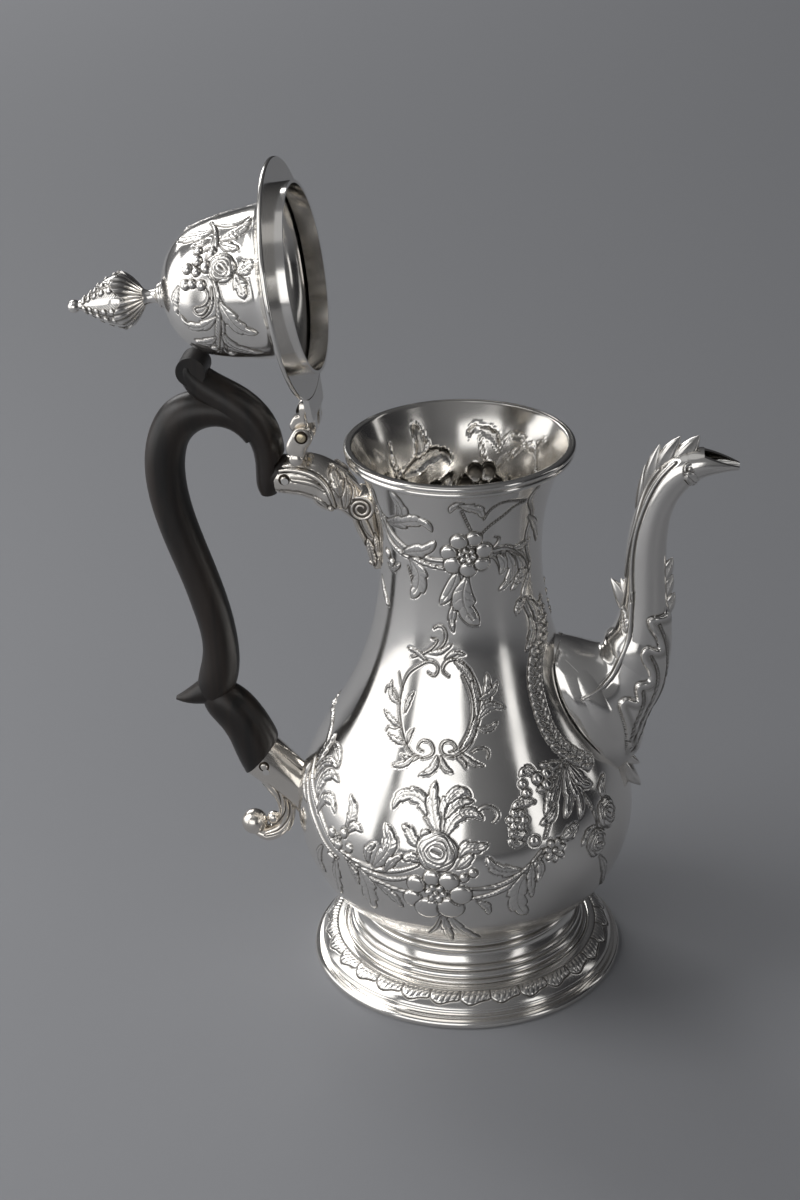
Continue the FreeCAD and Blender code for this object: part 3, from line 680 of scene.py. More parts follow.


# A laid-on leaf: all that lies to the right of its wavy edge is raised, with a rolled lip; a painted shadow
# runs just outside its step and a band of painted shade lies inside it
def carveShelf(relief, pixels):
    look = shelfCut
    edge = smoothLine(pixels, look["samples"])
    spots = toPixels(relief["points"])
    low = edge.min(0) - (look["leftPixels"], 0)
    high = edge.max(0) + (look["rightPixels"], 0)
    picked = np.nonzero(((spots > low) & (spots < high)).all(axis=1))[0]
    offset = spots[picked][:, None] - edge[None]
    nearest = (offset ** 2).sum(-1).argmin(1)
    offset = offset[np.arange(len(picked)), nearest]
    away = np.linalg.norm(offset, axis=-1) * look["pixelSize"]
    run = np.gradient(edge, axis=0)[nearest]
    inside = run[:, 0] * offset[:, 1] - run[:, 1] * offset[:, 0] < 0
    ends = np.clip(np.minimum(nearest, len(edge) - 1 - nearest) / look["fadeSamples"], 0, 1)
    roll = look["height"] * (1 - np.exp(-away / look["stepWidth"]))
    roll = (roll + look["lip"] * ridge(away - look["lipPlace"], look["lipWidth"])) * ends
    below = relief["height"][picked]
    relief["height"][picked] = np.where(inside, np.maximum(below, roll), below)
    # Painted shade: a band of darkening inside the leaf, and a painted shadow along the outside of the step,
    # added to the point darkening
    paintedBand = look["paintedBandShade"] * ridge(away - look["paintedBandPlace"], look["paintedBandWidth"])
    darkenOver(relief, picked, np.where(inside, paintedBand, ridge(away, look["shadeWidth"])) * ends)


# In this order, because later forms cover earlier ones
carvers = {
    "shelves": carveShelf, "stems": carveStem, "beads": carveBeads, "curls": carveCurl, "leaves": carveLeaf,
    "balls": carveBall, "flowers": carveFlower, "roses": carveRose,
}


# Height and darkening of a grid after its designs are carved, with the far half as the near one's mirror
# image; the darkening is tarnish in cuts, plus painted shade from laid-on leaves
def chased(grid, designs, place=unmoved):
    relief = newRelief(grid, place)
    for design in designs:
        for kind, carve in carvers.items():
            for settings in design.get(kind, {}).values():
                carve(relief, *settings)
    rows, columns = grid.shape[:2]
    fields = np.zeros((2, rows, columns))
    for field, key in zip(fields, ("height", "recess")):
        carved = relief[key].reshape(rows, -1)
        field[:, relief["half"]] = carved
        field[:, -relief["half"] % columns] = carved
    return fields


# The body: raised from sheet, chased from outside, in bands that meet edge to edge
bodyNodes = [name for name in nodes if name.endswith("_shell")]
bodySkin = {
    "columns": 900, "pitch": 0.42, "fineRows": 2000, "bands": 6, "wall": 1.2, "brimGap": 0.1,
    "innerColumns": 300, "innerPitch": 0.9, "dent": 1.2, "innerStain": 0.75,
    "floorRings": (0.97, 0.7, 0.4, 0.1, 0.001),
}

# Chasing designs: each form has its place in photo pixels, then its carver's settings, in millimetres
# Stems have width, strands and height; beads have size, pitch and height; leaves have width, lobes and height
# Balls have radius and height; flowers have radius, petals, turn and height; roses leave out the petals
neckChasing = {
    "stems": {
        "bracketUpper": (
            [(379, 508), (386, 523), (393, 535), (402, 545), (414, 553), (430, 559), (446, 561)],
            1.1, 3, 0.5,
        ),
        "bracketLower": (
            [(382, 518), (389, 538), (398, 550), (410, 557), (426, 564), (446, 569)], 1.0, 3, 0.5,
        ),
        "bracketEdge": ([(373, 490), (378, 505), (384, 518), (388, 530)], 0.8, 2, 0.45),
        "foldedStem": ([(381, 512), (387, 519), (397, 524)], 0.6, 2, 0.4),
        "sprayHigh": ([(493, 549), (505, 546), (516, 549), (524, 556), (528, 565)], 0.6, 2, 0.4),
        "sprayLow": ([(494, 553), (508, 552), (518, 557), (524, 567)], 0.5, 2, 0.4),
        "sprayHook": ([(485, 560), (492, 557), (497, 561), (500, 569)], 0.5, 1, 0.4),
        "sprayCurl": ([(491, 549), (497, 544), (499, 538), (495, 537)], 0.45, 1, 0.4),
        "spoutVine": (
            [(539, 486), (530, 499), (532, 514), (528, 528), (526, 542), (530, 562)], 0.7, 2, 0.45,
        ),
        "spoutVineLow": (
            [(530, 562), (527, 578), (523, 592), (527, 610), (531, 624), (528, 638)], 0.7, 2, 0.45,
        ),
    },
    "beads": {
        "flowerTendril": ([(471, 531), (466, 521), (462, 512)], 0.5, 1.1, 0.4),
        "rightTendril": (
            [(481, 535), (489, 527), (498, 520), (507, 513), (514, 507), (526, 501)], 0.5, 1.1, 0.4,
        ),
        "rightTendrilHigh": ([(484, 520), (490, 511), (500, 504), (514, 501), (526, 500)], 0.45, 1.0, 0.35),
        "leftTendril": ([(408, 566), (411, 577), (414, 588)], 0.45, 1.0, 0.35),
    },
    "leaves": {
        "budLeaf": ([(396, 520), (402, 510), (397, 500), (391, 491)], 2.4, 2),
        "foldedLeaf": ([(388, 521), (402, 522), (416, 521), (426, 524), (432, 532)], 2.7, 3),
        "lowLeaf": ([(404, 552), (416, 551), (427, 549), (435, 541)], 2.5, 2),
        "dropLeaf": ([(411, 560), (418, 571), (419, 584), (411, 597)], 3.3, 3),
        "crownLeft": ([(467, 511), (461, 506), (454, 507), (450, 513)], 1.4, 2, 0.5),
        "crownRight": ([(460, 506), (469, 508), (478, 510), (483, 518)], 2.0, 3, 0.6),
        "pendantSpoon": ([(457, 574), (452, 588), (446, 597), (440, 604)], 2.2, 1, 0.6),
        "pendantThin": ([(460, 590), (455, 606), (452, 620), (454, 632)], 1.5, 3, 0.5),
        "pendantBroad": ([(466, 580), (463, 598), (467, 611), (479, 625)], 4.0, 2, 0.8),
        "sprayLeaf": ([(499, 556), (504, 564), (500, 574)], 1.8, 1, 0.6),
        "sprayLeafLong": ([(507, 553), (512, 568), (507, 582), (499, 590)], 1.8, 3, 0.6),
        "sprayLeafOuter": ([(517, 556), (522, 566), (519, 578), (511, 590)], 1.9, 3, 0.6),
        "sprayTip": ([(514, 548), (522, 545), (530, 538)], 1.4, 2, 0.5),
        "vineLeafHigh": ([(529, 516), (535, 526), (536, 540)], 1.5, 2, 0.6),
        "vineLeafMiddle": ([(528, 570), (520, 574), (515, 582)], 1.7, 2, 0.6),
        "vineLeafLow": ([(526, 598), (520, 604), (516, 614)], 1.9, 2, 0.6),
        "vineLeafOut": ([(528, 600), (534, 608), (536, 620)], 1.5, 2, 0.6),
        "vineFoot": ([(530, 616), (533, 632), (526, 650)], 1.9, 3, 0.6),
        "bracketFoot": ([(382, 576), (384, 590), (389, 606)], 1.6, 3, 0.6),
        "bracketSprig": ([(388, 564), (394, 568), (400, 564)], 1.2, 2, 0.5),
    },
    "balls": {
        "petalTop": ((474, 539), 3.0), "petalTopLeft": ((459, 542), 3.1), "petalLeft": ((449, 553), 3.0),
        "petalLowLeft": ((453, 565), 3.3), "petalLow": ((468, 569), 3.1),
        "petalLowRight": ((482, 563), 2.9), "petalRight": ((484, 550), 3.1),
        "bracketBerry": ((388, 553), 1.9, 0.9), "bracketBerryLow": ((392, 562), 1.5, 0.8),
    },
    "flowers": {"neckHeart": ((467, 555), 3.3, 6, 0.25, 1.7)},
}

cartoucheChasing = {
    "stems": {
        "crestHook": ([(434, 628), (441, 626), (446, 634), (443, 645), (436, 651)], 0.5, 1, 0.35),
        "crestSweep": ([(412, 657), (424, 653), (434, 646), (437, 640), (432, 638)], 0.48, 2, 0.35),
        "leftTop": (
            [(402, 687), (408, 674), (420, 665), (432, 662), (438, 668), (434, 676), (428, 673)],
            0.48, 2, 0.35,
        ),
        "leftSide": (
            [(402, 687), (399, 703), (400, 722), (404, 740), (412, 753), (423, 758)], 0.48, 2, 0.35,
        ),
        "leftFootCurl": (
            [(423, 758), (433, 753), (431, 743), (422, 741), (418, 747), (423, 751)], 0.42, 1, 0.35,
        ),
        "rightTop": ([(449, 677), (443, 671), (447, 662), (458, 660), (469, 669)], 0.48, 2, 0.35),
        "rightSide": (
            [(469, 669), (477, 686), (480, 709), (475, 732), (464, 751), (453, 757)], 0.55, 2, 0.4,
        ),
        "rightInner": ([(463, 676), (470, 692), (473, 711), (468, 733), (459, 748)], 0.45, 1, 0.3),
        "rightFootCurl": (
            [(453, 757), (442, 752), (443, 743), (452, 742), (456, 749), (450, 752)], 0.42, 1, 0.35,
        ),
        "footHook": ([(472, 752), (481, 748), (488, 751), (488, 758)], 0.45, 1, 0.35),
        "leftHook": ([(398, 700), (394, 690), (387, 687), (385, 692)], 0.4, 1, 0.3),
        "leftHookLow": ([(400, 726), (394, 728), (388, 727), (386, 731)], 0.4, 1, 0.3),
        "leftTip": ([(402, 690), (400, 680), (399, 673)], 0.4, 1, 0.3),
    },
    "leaves": {
        "crestLeaf": ([(428, 653), (440, 652), (452, 644)], 0.9, 2, 0.4),
        "combTop": ([(456, 662), (466, 670), (473, 684)], 1.2, 7, 0.4),
        "combMiddle": ([(472, 682), (477, 700), (477, 720)], 1.3, 8, 0.4),
        "combFoot": ([(476, 718), (471, 736), (461, 750)], 1.2, 8, 0.4),
        "flameHigh": ([(480, 712), (487, 696), (487, 674)], 1.6, 3, 0.5),
        "flameOut": ([(479, 718), (490, 706), (504, 708)], 1.5, 3, 0.5),
        "leftInner": ([(405, 712), (409, 700), (414, 692)], 0.9, 3, 0.35),
        "leftInnerLow": ([(408, 742), (411, 732), (414, 729)], 0.8, 2, 0.35),
        "leftLeafLow": ([(406, 744), (396, 740), (388, 733)], 1.0, 3, 0.4),
        "leftFoot": ([(418, 758), (410, 759), (401, 754)], 1.0, 3, 0.4),
        "dropLeft": ([(437, 757), (433, 768), (419, 775)], 1.3, 3, 0.5),
        "dropRight": ([(441, 757), (446, 768), (453, 772)], 1.1, 3, 0.45),
        "leftSprayHigh": ([(399, 704), (391, 695), (392, 681)], 1.0, 3, 0.4),
        "leftSprayLow": ([(400, 726), (391, 719), (384, 710)], 1.0, 3, 0.4),
        "crestSprayLeft": ([(426, 661), (417, 652), (408, 648)], 0.9, 2, 0.35),
        "crestSprayRight": ([(446, 659), (456, 653), (465, 655)], 0.9, 2, 0.35),
        "rightSprayHigh": ([(479, 700), (492, 692), (497, 682)], 1.1, 3, 0.4),
        "rightSprayLow": ([(477, 728), (489, 729), (497, 722)], 1.1, 3, 0.4),
        "footSprayLeft": ([(414, 756), (403, 765), (392, 765)], 1.0, 3, 0.4),
        "footSprayRight": ([(462, 754), (473, 763), (484, 766)], 1.0, 3, 0.4),
        "footLeafRight": ([(458, 758), (464, 762), (466, 768)], 0.7, 2, 0.35),
    },
}

bellyChasing = {
    "stems": {
        "leftSwagHigh": (
            [(345, 854), (358, 862), (373, 868), (390, 871), (406, 869), (418, 865)], 1.0, 3, 0.5,
        ),
        "leftSwag": ([(346, 858), (361, 868), (376, 875), (393, 879), (410, 877)], 1.1, 3, 0.5),
        "leftSwagLow": ([(350, 862), (366, 875), (381, 883), (396, 889), (412, 893)], 1.0, 3, 0.5),
        "rightSwagHigh": (
            [(542, 850), (530, 866), (515, 878), (498, 886), (480, 889), (464, 889)], 1.0, 3, 0.5,
        ),
        "rightSwag": ([(543, 854), (527, 873), (508, 887), (490, 895), (468, 899)], 1.1, 3, 0.5),
        "handleStem": (
            [(315, 758), (312, 780), (316, 801), (323, 821), (333, 842), (345, 854)], 1.1, 3, 0.5,
        ),
        "handleStemOuter": ([(308, 776), (309, 800), (316, 824), (327, 846), (338, 858)], 0.9, 2, 0.45),
        "hangStem": ([(562, 760), (558, 788), (552, 814), (545, 838)], 0.8, 2, 0.45),
        "hangStemRight": ([(569, 772), (580, 790), (590, 804), (597, 822)], 0.7, 2, 0.4),
        "spoutStem": ([(562, 838), (554, 846), (543, 853)], 0.9, 2, 0.45),
        "rightHook": ([(477, 812), (486, 807), (494, 809), (498, 816), (494, 822)], 0.7, 1, 0.45),
        "pendantHook": ([(441, 917), (437, 926), (429, 933), (420, 938)], 0.6, 1, 0.4),
        "pendantHookRight": ([(446, 917), (452, 925), (461, 928)], 0.6, 1, 0.4),
    },
    "leaves": {
        "sprayLeft": ([(437, 836), (431, 815), (422, 799), (410, 794), (399, 798), (393, 809)], 3.0, 5),
        "sprayRight": ([(441, 834), (445, 811), (453, 797), (463, 791), (471, 797)], 2.7, 4),
        "sprayArch": ([(446, 836), (452, 823), (462, 814), (474, 813), (483, 820)], 2.4, 4),
        "sprayFar": ([(446, 818), (458, 804), (474, 801)], 1.7, 3),
        "sprayCentre": ([(439, 836), (434, 814), (433, 798), (436, 781)], 2.6, 3),
        "roseLeafLeft": ([(421, 846), (413, 839), (409, 831), (402, 825)], 2.3, 3),
        "roseLeafLow": ([(420, 862), (411, 857), (403, 860)], 1.8, 2),
        "roseLeafRight": ([(460, 856), (467, 848), (477, 848), (488, 844)], 2.3, 3),
        "roseLeafRightLow": ([(458, 868), (466, 862), (473, 854)], 1.7, 2),
        "roseSprig": ([(424, 840), (424, 834), (430, 831)], 1.2, 2),
        "swagLeafHigh": ([(374, 866), (386, 853), (391, 840), (386, 824)], 3.0, 3),
        "swagLeafHighLeft": ([(368, 862), (368, 850), (376, 843)], 1.7, 2),
        "swagLeafInner": ([(385, 870), (394, 860), (403, 855)], 1.7, 2),
        "swagLeafLow": ([(360, 870), (367, 884), (370, 896), (375, 908)], 3.6, 3),
        "swagLeafMiddle": ([(378, 884), (390, 893), (403, 907)], 1.9, 3),
        "rightLeafLow": ([(524, 876), (518, 891), (518, 904), (527, 914)], 3.8, 3),
        "rightLeafSide": ([(532, 864), (531, 880), (532, 897)], 1.7, 3),
        "rightLeafNear": ([(539, 858), (541, 870), (537, 882)], 1.5, 2),
        "rightLeafHigh": ([(520, 870), (506, 871), (494, 867), (487, 857)], 2.4, 3),
        "rightSwagLeaf": ([(478, 902), (486, 906), (489, 914)], 1.6, 2),
        "hangMiddle": ([(566, 766), (568, 784), (569, 800), (565, 818)], 2.4, 2),
        "hangRight": ([(567, 766), (574, 784), (581, 800), (580, 818)], 2.6, 2),
        "hangWide": ([(568, 764), (576, 775), (584, 783), (592, 784)], 2.4, 2),
        "hangLeft": ([(561, 770), (554, 786), (550, 800), (546, 814)], 2.2, 3),
        "hangLowLeft": ([(556, 806), (550, 818), (541, 824)], 1.7, 2),
        "hangLowRight": ([(562, 838), (570, 832), (577, 823)], 2.2, 2),
        "rootSpray": ([(560, 762), (549, 766), (540, 764)], 1.7, 2),
        "rootSprayLow": ([(556, 778), (548, 786), (538, 790)], 1.9, 2),
        "rootTip": ([(536, 776), (527, 770), (520, 776)], 1.8, 2),
        "bridgeLeaf": ([(534, 802), (524, 802), (513, 808)], 1.8, 2),
        "bridgeTip": ([(526, 832), (518, 834), (510, 826)], 2.2, 3),
        "bridgeLow": ([(524, 842), (516, 843), (509, 840)], 1.6, 2),
        "leftPalm": ([(317, 796), (322, 781), (331, 774), (339, 782)], 2.2, 3),
        "leftPalmLow": ([(318, 812), (325, 798), (332, 801), (335, 813)], 2.2, 3),
        "leftPalmHigh": ([(316, 776), (322, 765), (332, 762), (338, 768)], 1.9, 3),
        "leftEdgeLeaf": ([(306, 800), (304, 780), (311, 762)], 1.8, 3),
        "leftFlame": ([(346, 828), (352, 816), (353, 806), (350, 795)], 2.3, 3),
        "leftFlameLow": ([(348, 832), (355, 826), (362, 832)], 1.7, 2),
        "leftDrop": ([(336, 860), (337, 876), (342, 893)], 2.2, 3),
        "leftDropInner": ([(348, 862), (354, 872), (359, 884)], 1.5, 2),
        "leftSide": ([(322, 846), (320, 860), (326, 872)], 1.8, 2),
        "handleLeaf": ([(317, 764), (326, 748), (336, 734)], 2.2, 4),
        "handleLeafHigh": ([(326, 746), (331, 726), (333, 706)], 1.6, 3),
        "handleLeafInner": ([(334, 742), (340, 756), (338, 768)], 1.3, 2),
        "pendantMiddle": ([(443, 916), (447, 928), (452, 940)], 1.8, 3),
        "pendantRight": ([(449, 916), (462, 930), (480, 937)], 2.0, 3),
        "rightRoseLeaf": ([(597, 826), (588, 834), (582, 846)], 1.7, 2),
        "rightRoseLeafHigh": ([(606, 800), (601, 788), (604, 774)], 1.8, 2),
        "rightRoseLeafLow": ([(600, 856), (604, 868), (600, 884)], 1.8, 3),
    },
    "balls": {
        "petalTopLeft": ((416, 884), 3.4), "petalTop": ((432, 878), 3.2),
        "petalTopRight": ((449, 882), 3.6), "petalLeft": ((413, 898), 3.6),
        "petalLowLeft": ((428, 908), 4.8), "petalLowRight": ((451, 908), 4.8),
        "petalRight": ((461, 895), 4.0), "leftPetal": ((332, 832), 1.9, 0.9),
        "leftPetalRight": ((344, 833), 1.9, 0.9), "leftPetalLow": ((338, 844), 2.0, 0.9),
        "leftPetalSide": ((349, 848), 1.8, 0.8), "rootPetal": ((538, 778), 2.1, 0.9),
        "rootPetalHigh": ((547, 773), 2.0, 0.9), "rootPetalLow": ((547, 784), 2.0, 0.9),
        "rootBerry": ((523, 784), 1.5, 0.8), "rootBerryLow": ((527, 793), 1.6, 0.9),
        "rightBerry": ((464, 878), 1.7, 0.9), "rightBerryHigh": ((473, 873), 1.7, 0.9),
        "leftBud": ((331, 857), 2.2, 0.9), "bridgeBerry": ((535, 841), 2.0, 0.8),
    },
    "flowers": {
        "bellyHeart": ((436, 893), 4.0, 6, 0.1, 1.4),
        "leftHeart": ((338, 837), 1.7, 5, 0.4, 1.0),
        "bridgeFlower": ((518, 820), 4.0, 6, 0.2, 0.9),
        "swagFlower": ((555, 850), 4.4, 7, 0.3, 1.1),
    },
    "roses": {
        "bellyRose": ((437, 852), 7.4, 0.4),
        "rightRose": ((607, 812), 5.8, 0.8),
        "rightRoseLow": ((597, 842), 5.4, 0.2),
    },
}

# A fern of short leaves on both sides of a line along the root of the spout; line and length in photo pixels
rootFern = {
    "line": [(537, 604), (541, 628), (537, 654), (535, 680), (540, 706), (550, 732), (568, 752), (592, 764)],
    "leaves": 22, "length": 10.5, "width": 1.25, "lobes": 2, "bend": (0.44, 0.3), "tip": (0.50, 0.90),
}


def fernLeaves(fern):
    line = smoothLine(fern["line"], fern["leaves"])
    ahead = unit(np.gradient(line, axis=0))
    leaves = {}
    for i, (spot, run) in enumerate(zip(line, ahead)):
        for label, side in (("Left", -1), ("Right", 1)):
            out = np.array([-run[1], run[0]]) * side
            points = [spot]
            for outShare, backShare in (fern["bend"], fern["tip"]):
                points.append(spot + fern["length"] * (outShare * out - backShare * run))
            leaves[f"fern{i}{label}"] = (points, fern["width"], fern["lobes"])
    return leaves


# The wall is read away from spout and handle: step between heights, least slope and least outward lean
wallReading = {"step": 2.0, "slope": 0.3, "outward": 1e-5}


# Outer radius of lathe-turned CAD nodes at each of their heights
def turnedOutline(parts):
    found = {}
    for part in parts:
        mesh = part.data
        for face in mesh.polygons:
            middle = face.center
            if not (middle.x < 0 and middle.y > abs(middle.x) * wallReading["slope"]):
                continue
            if face.normal.x * middle.x + face.normal.y * middle.y <= wallReading["outward"]:
                continue
            for corner in face.vertices:
                co = mesh.vertices[corner].co
                found[round(co.z / mm, 2)] = math.hypot(co.x, co.y) / mm
    heights = []
    for height in sorted(found):
        if not heights or height - heights[-1] > wallReading["step"]:
            heights.append(height)
    heights[-1] = max(found)
    return np.array(heights), np.array([found[height] for height in heights])


def bodyOutline():
    heights, radii = turnedOutline([nodes[name] for name in bodyNodes])
    fine = np.linspace(heights[0], heights[-1], bodySkin["fineRows"])
    line = np.stack([cubicThrough(heights, radii, fine), fine], axis=1)
    reach = runAlong(line)
    even = np.linspace(0, reach[-1], int(reach[-1] / bodySkin["pitch"]))
    return np.stack([np.interp(even, reach, line[:, 0]), np.interp(even, reach, line[:, 1])], axis=1)


def makeBody():
    outline = bodyOutline()
    grid = turnedGrid(outline, bodySkin["columns"])
    fern = {"leaves": fernLeaves(rootFern)}
    height, recess = chased(grid, (fern, neckChasing, cartoucheChasing, bellyChasing))
    carved = raised(grid, height)
    normals = gridNormals(carved)
    cuts = np.linspace(0, len(outline) - 1, bodySkin["bands"] + 1).astype(int)
    for i, (low, high) in enumerate(zip(cuts, cuts[1:])):
        band = slice(low, high + 1)
        piece = gridMesh(f"bodyBand{i + 1}", carved[band], recess[band], chasedSilver, normals=normals[band])
        if i == 0:
            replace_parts(piece, *bodyNodes)
    makeBodyInside(outline, grid, height)
    print("body chased,", height.size, "points")


# The inner wall shows the chasing from behind, from the brim down to the floor
def makeBodyInside(outline, grid, height):
    look = bodySkin
    everyRow = slice(None, None, -max(1, int(look["innerPitch"] / look["pitch"])))
    everyColumn = slice(None, None, look["columns"] // look["innerColumns"])
    brim = outline[-1][1] - look["brimGap"]
    floor = outline[0][1] + look["wall"]
    inner = raised(grid, look["dent"] * height - look["wall"])[everyRow, everyColumn]
    inner[..., 2] = np.minimum(inner[..., 2], brim)
    darkness = look["innerStain"] * np.clip(np.abs(height), 0, 1)[everyRow, everyColumn]
    deep = inner[:, 0, 2] > floor
    inner, darkness = inner[deep], darkness[deep]
    rings = [inner[-1] * (share, share, 0) + (0, 0, floor) for share in look["floorRings"]]
    top = grid[-1, everyColumn] * (1, 1, 0) + (0, 0, brim)
    inner = np.concatenate([top[None], inner, rings])
    darkness = np.concatenate([0 * darkness[:1], darkness, np.ones((len(rings), darkness.shape[1]))])
    gridMesh("bodyInside", inner, darkness, tarnishedSilver)


makeBody()

# The lid is drawn shut, and its joint gives the turn that opens it
lidJoint = frame["record"]["behaviour"]["joints"][0]
lidHinge = Matrix.Translation(Vector(lidJoint["pos_m"]))
lidTurn = Matrix.Rotation(-math.radians(lidJoint["range_deg"][1]), 4, Vector(lidJoint["axis"]))
lidPlace = lidHinge @ lidTurn @ lidHinge.inverted()

# The dome's outline is radius and height above the base
lidSkin = {
    "base": 204.6,
    "outline": [
        (36.3, 2.72), (33.6, 3.1), (31.0, 3.8), (28.6, 5.1), (27.0, 6.6), (26.2, 8.2), (25.6, 12.0),
        (24.9, 17.0), (23.9, 23.0), (22.7, 28.0), (20.9, 32.8), (18.0, 37.2), (14.2, 40.6), (9.8, 42.9),
        (4.9, 44.0),
    ],
    "crownRadii": (2.45, 0.01), "columns": 480, "rows": 150,
    "wall": 1.1, "innerColumns": 240, "innerRows": 75, "dent": 1.0, "innerStain": 0.7,
}

lidChasing = {
    "stems": {
        "stalk": ([(214, 280), (218, 296), (219, 312), (218, 332), (219, 352)], 1.0, 2, 0.5),
        "stalkRight": ([(221, 300), (223, 320), (224, 338), (228, 352)], 0.6, 1, 0.4),
        "stalkLeft": ([(211, 288), (212, 302), (208, 313), (202, 318)], 0.6, 2, 0.4),
        "topStalk": ([(215, 252), (216, 240), (215, 230), (211, 222)], 0.9, 3, 0.45),
        "innerArc": ([(205, 288), (208, 296), (206, 303), (199, 307)], 0.5, 1, 0.4),
        "innerCurl": ([(207, 308), (202, 314), (196, 313), (194, 309), (198, 307)], 0.5, 1, 0.4),
        "topSweep": ([(214, 224), (226, 226), (240, 223), (249, 217)], 0.5, 1, 0.4),
        "bloomStem": ([(203, 252), (210, 248), (216, 250)], 0.5, 1, 0.4),
    },
    "leaves": {
        "stalkLeaf": ([(221, 304), (230, 318), (240, 328), (250, 332), (258, 333)], 2.8, 3),
        "leftArc": ([(215, 318), (206, 325), (196, 327), (186, 323), (181, 315)], 1.9, 3),
        "stalkLeafLow": ([(223, 334), (232, 345), (246, 350), (262, 352)], 2.0, 3),
        "stalkFoot": ([(215, 338), (206, 342), (195, 340)], 1.8, 2),
        "roseLeaf": ([(237, 272), (245, 268), (253, 260)], 2.5, 2),
        "roseLeafLow": ([(235, 275), (240, 285), (244, 299)], 2.5, 2),
        "topLeaf": ([(221, 239), (231, 235), (241, 230), (251, 218)], 2.3, 3),
        "topLeafLow": ([(221, 244), (231, 247), (239, 249)], 1.8, 2),
        "topLeft": ([(211, 232), (200, 236), (190, 238), (178, 241)], 2.3, 3),
        "topLeftLow": ([(209, 240), (200, 244), (192, 247)], 1.5, 2),
        "sideLeaf": ([(178, 288), (175, 301), (178, 314)], 1.7, 2),
        "bloomLeaf": ([(207, 258), (211, 252), (214, 246)], 1.3, 2),
    },
    "balls": {
        "petalRight": ((206, 267), 2.1), "petalHigh": ((197, 261), 1.9), "petalLeft": ((187, 269), 1.9),
        "petalMiddle": ((196, 272), 1.6, 1.1), "petalLow": ((201, 285), 1.8),
        "petalLowMiddle": ((192, 284), 1.6), "petalLowLeft": ((185, 285), 1.8),
        "budTop": ((198, 251), 1.6, 1.0), "berryLeft": ((215, 348), 1.4, 0.8),
        "berryRight": ((232, 353), 1.4, 0.8),
    },
    "roses": {"lidRose": ((222, 268), 5.0, 0.5, 1.1)},
}


def makeLid():
    look = lidSkin
    outline = smoothLine(look["outline"], look["rows"]) + (0, look["base"])
    crown = [(radius, outline[-1, 1]) for radius in look["crownRadii"]]
    grid = turnedGrid(np.concatenate([outline, crown]), look["columns"])
    height, recess = chased(grid, (lidChasing,), lidPlace)
    piece = gridMesh("lidDomeSkin", raised(grid, height), recess, chasedSilver, lidPlace, "lid")
    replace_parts(piece, "lid_dome")
    everyRow = slice(1, None, look["rows"] // look["innerRows"])
    everyColumn = slice(None, None, look["columns"] // look["innerColumns"])
    inner = raised(grid, look["dent"] * height - look["wall"])[::-1][everyRow, everyColumn]
    darkness = look["innerStain"] * np.clip(np.abs(height), 0, 1)[::-1][everyRow, everyColumn]
    gridMesh("lidDomeInside", inner, darkness, tarnishedSilver, lidPlace, "lid")
    print("lid chased")


# The finial: a bud of hatched leaves with beaded edges, on a reeded calyx
# Its outline is share of height and radius
finial = {
    "collar": 2.6, "stem": 5.0, "height": 23.0, "columns": 200, "rows": 120,
    "outline": [
        (0.0, 2.7), (0.08, 5.2), (0.2, 8.0), (0.36, 9.0), (0.52, 8.0), (0.72, 5.4), (0.9, 2.6), (1.0, 1.7),
    ],
    "ridges": 5, "grooveWidth": 0.35, "grooveFrom": 0.12, "grooveDepth": 0.5, "grooveStain": 0.9,
    "hatchPitch": 0.96, "hatchLean": 0.9, "hatchClear": 0.8, "hatchFrom": 0.3, "hatchDepth": 0.28,
    "hatchStain": 0.8,
    "beadSpots": (0.42, 0.56, 0.69, 0.81, 0.91), "beadSize": 1.35, "beadLowest": 1.05, "beadTaper": 0.45,
    "beadPlace": 0.34, "beadRise": 1.0, "beadSink": 0.15, "beadEdge": 0.25, "beadStain": 0.8,
    "calyxLeaves": 5, "calyxReach": 0.40, "calyxDip": 0.5, "calyxRise": 1.2, "calyxRoot": 0.30,
    "calyxEdge": 0.06, "reeds": 5, "reedDepth": 0.35, "reedStain": 0.75,
}
finialBall = {
    "radius": 2.3, "lift": 1.9, "rows": 24, "columns": 48, "hiddenRows": 6, "pole": 0.002,
    "neck": ((1.75, -1.2), (1.3, -0.2)),
}


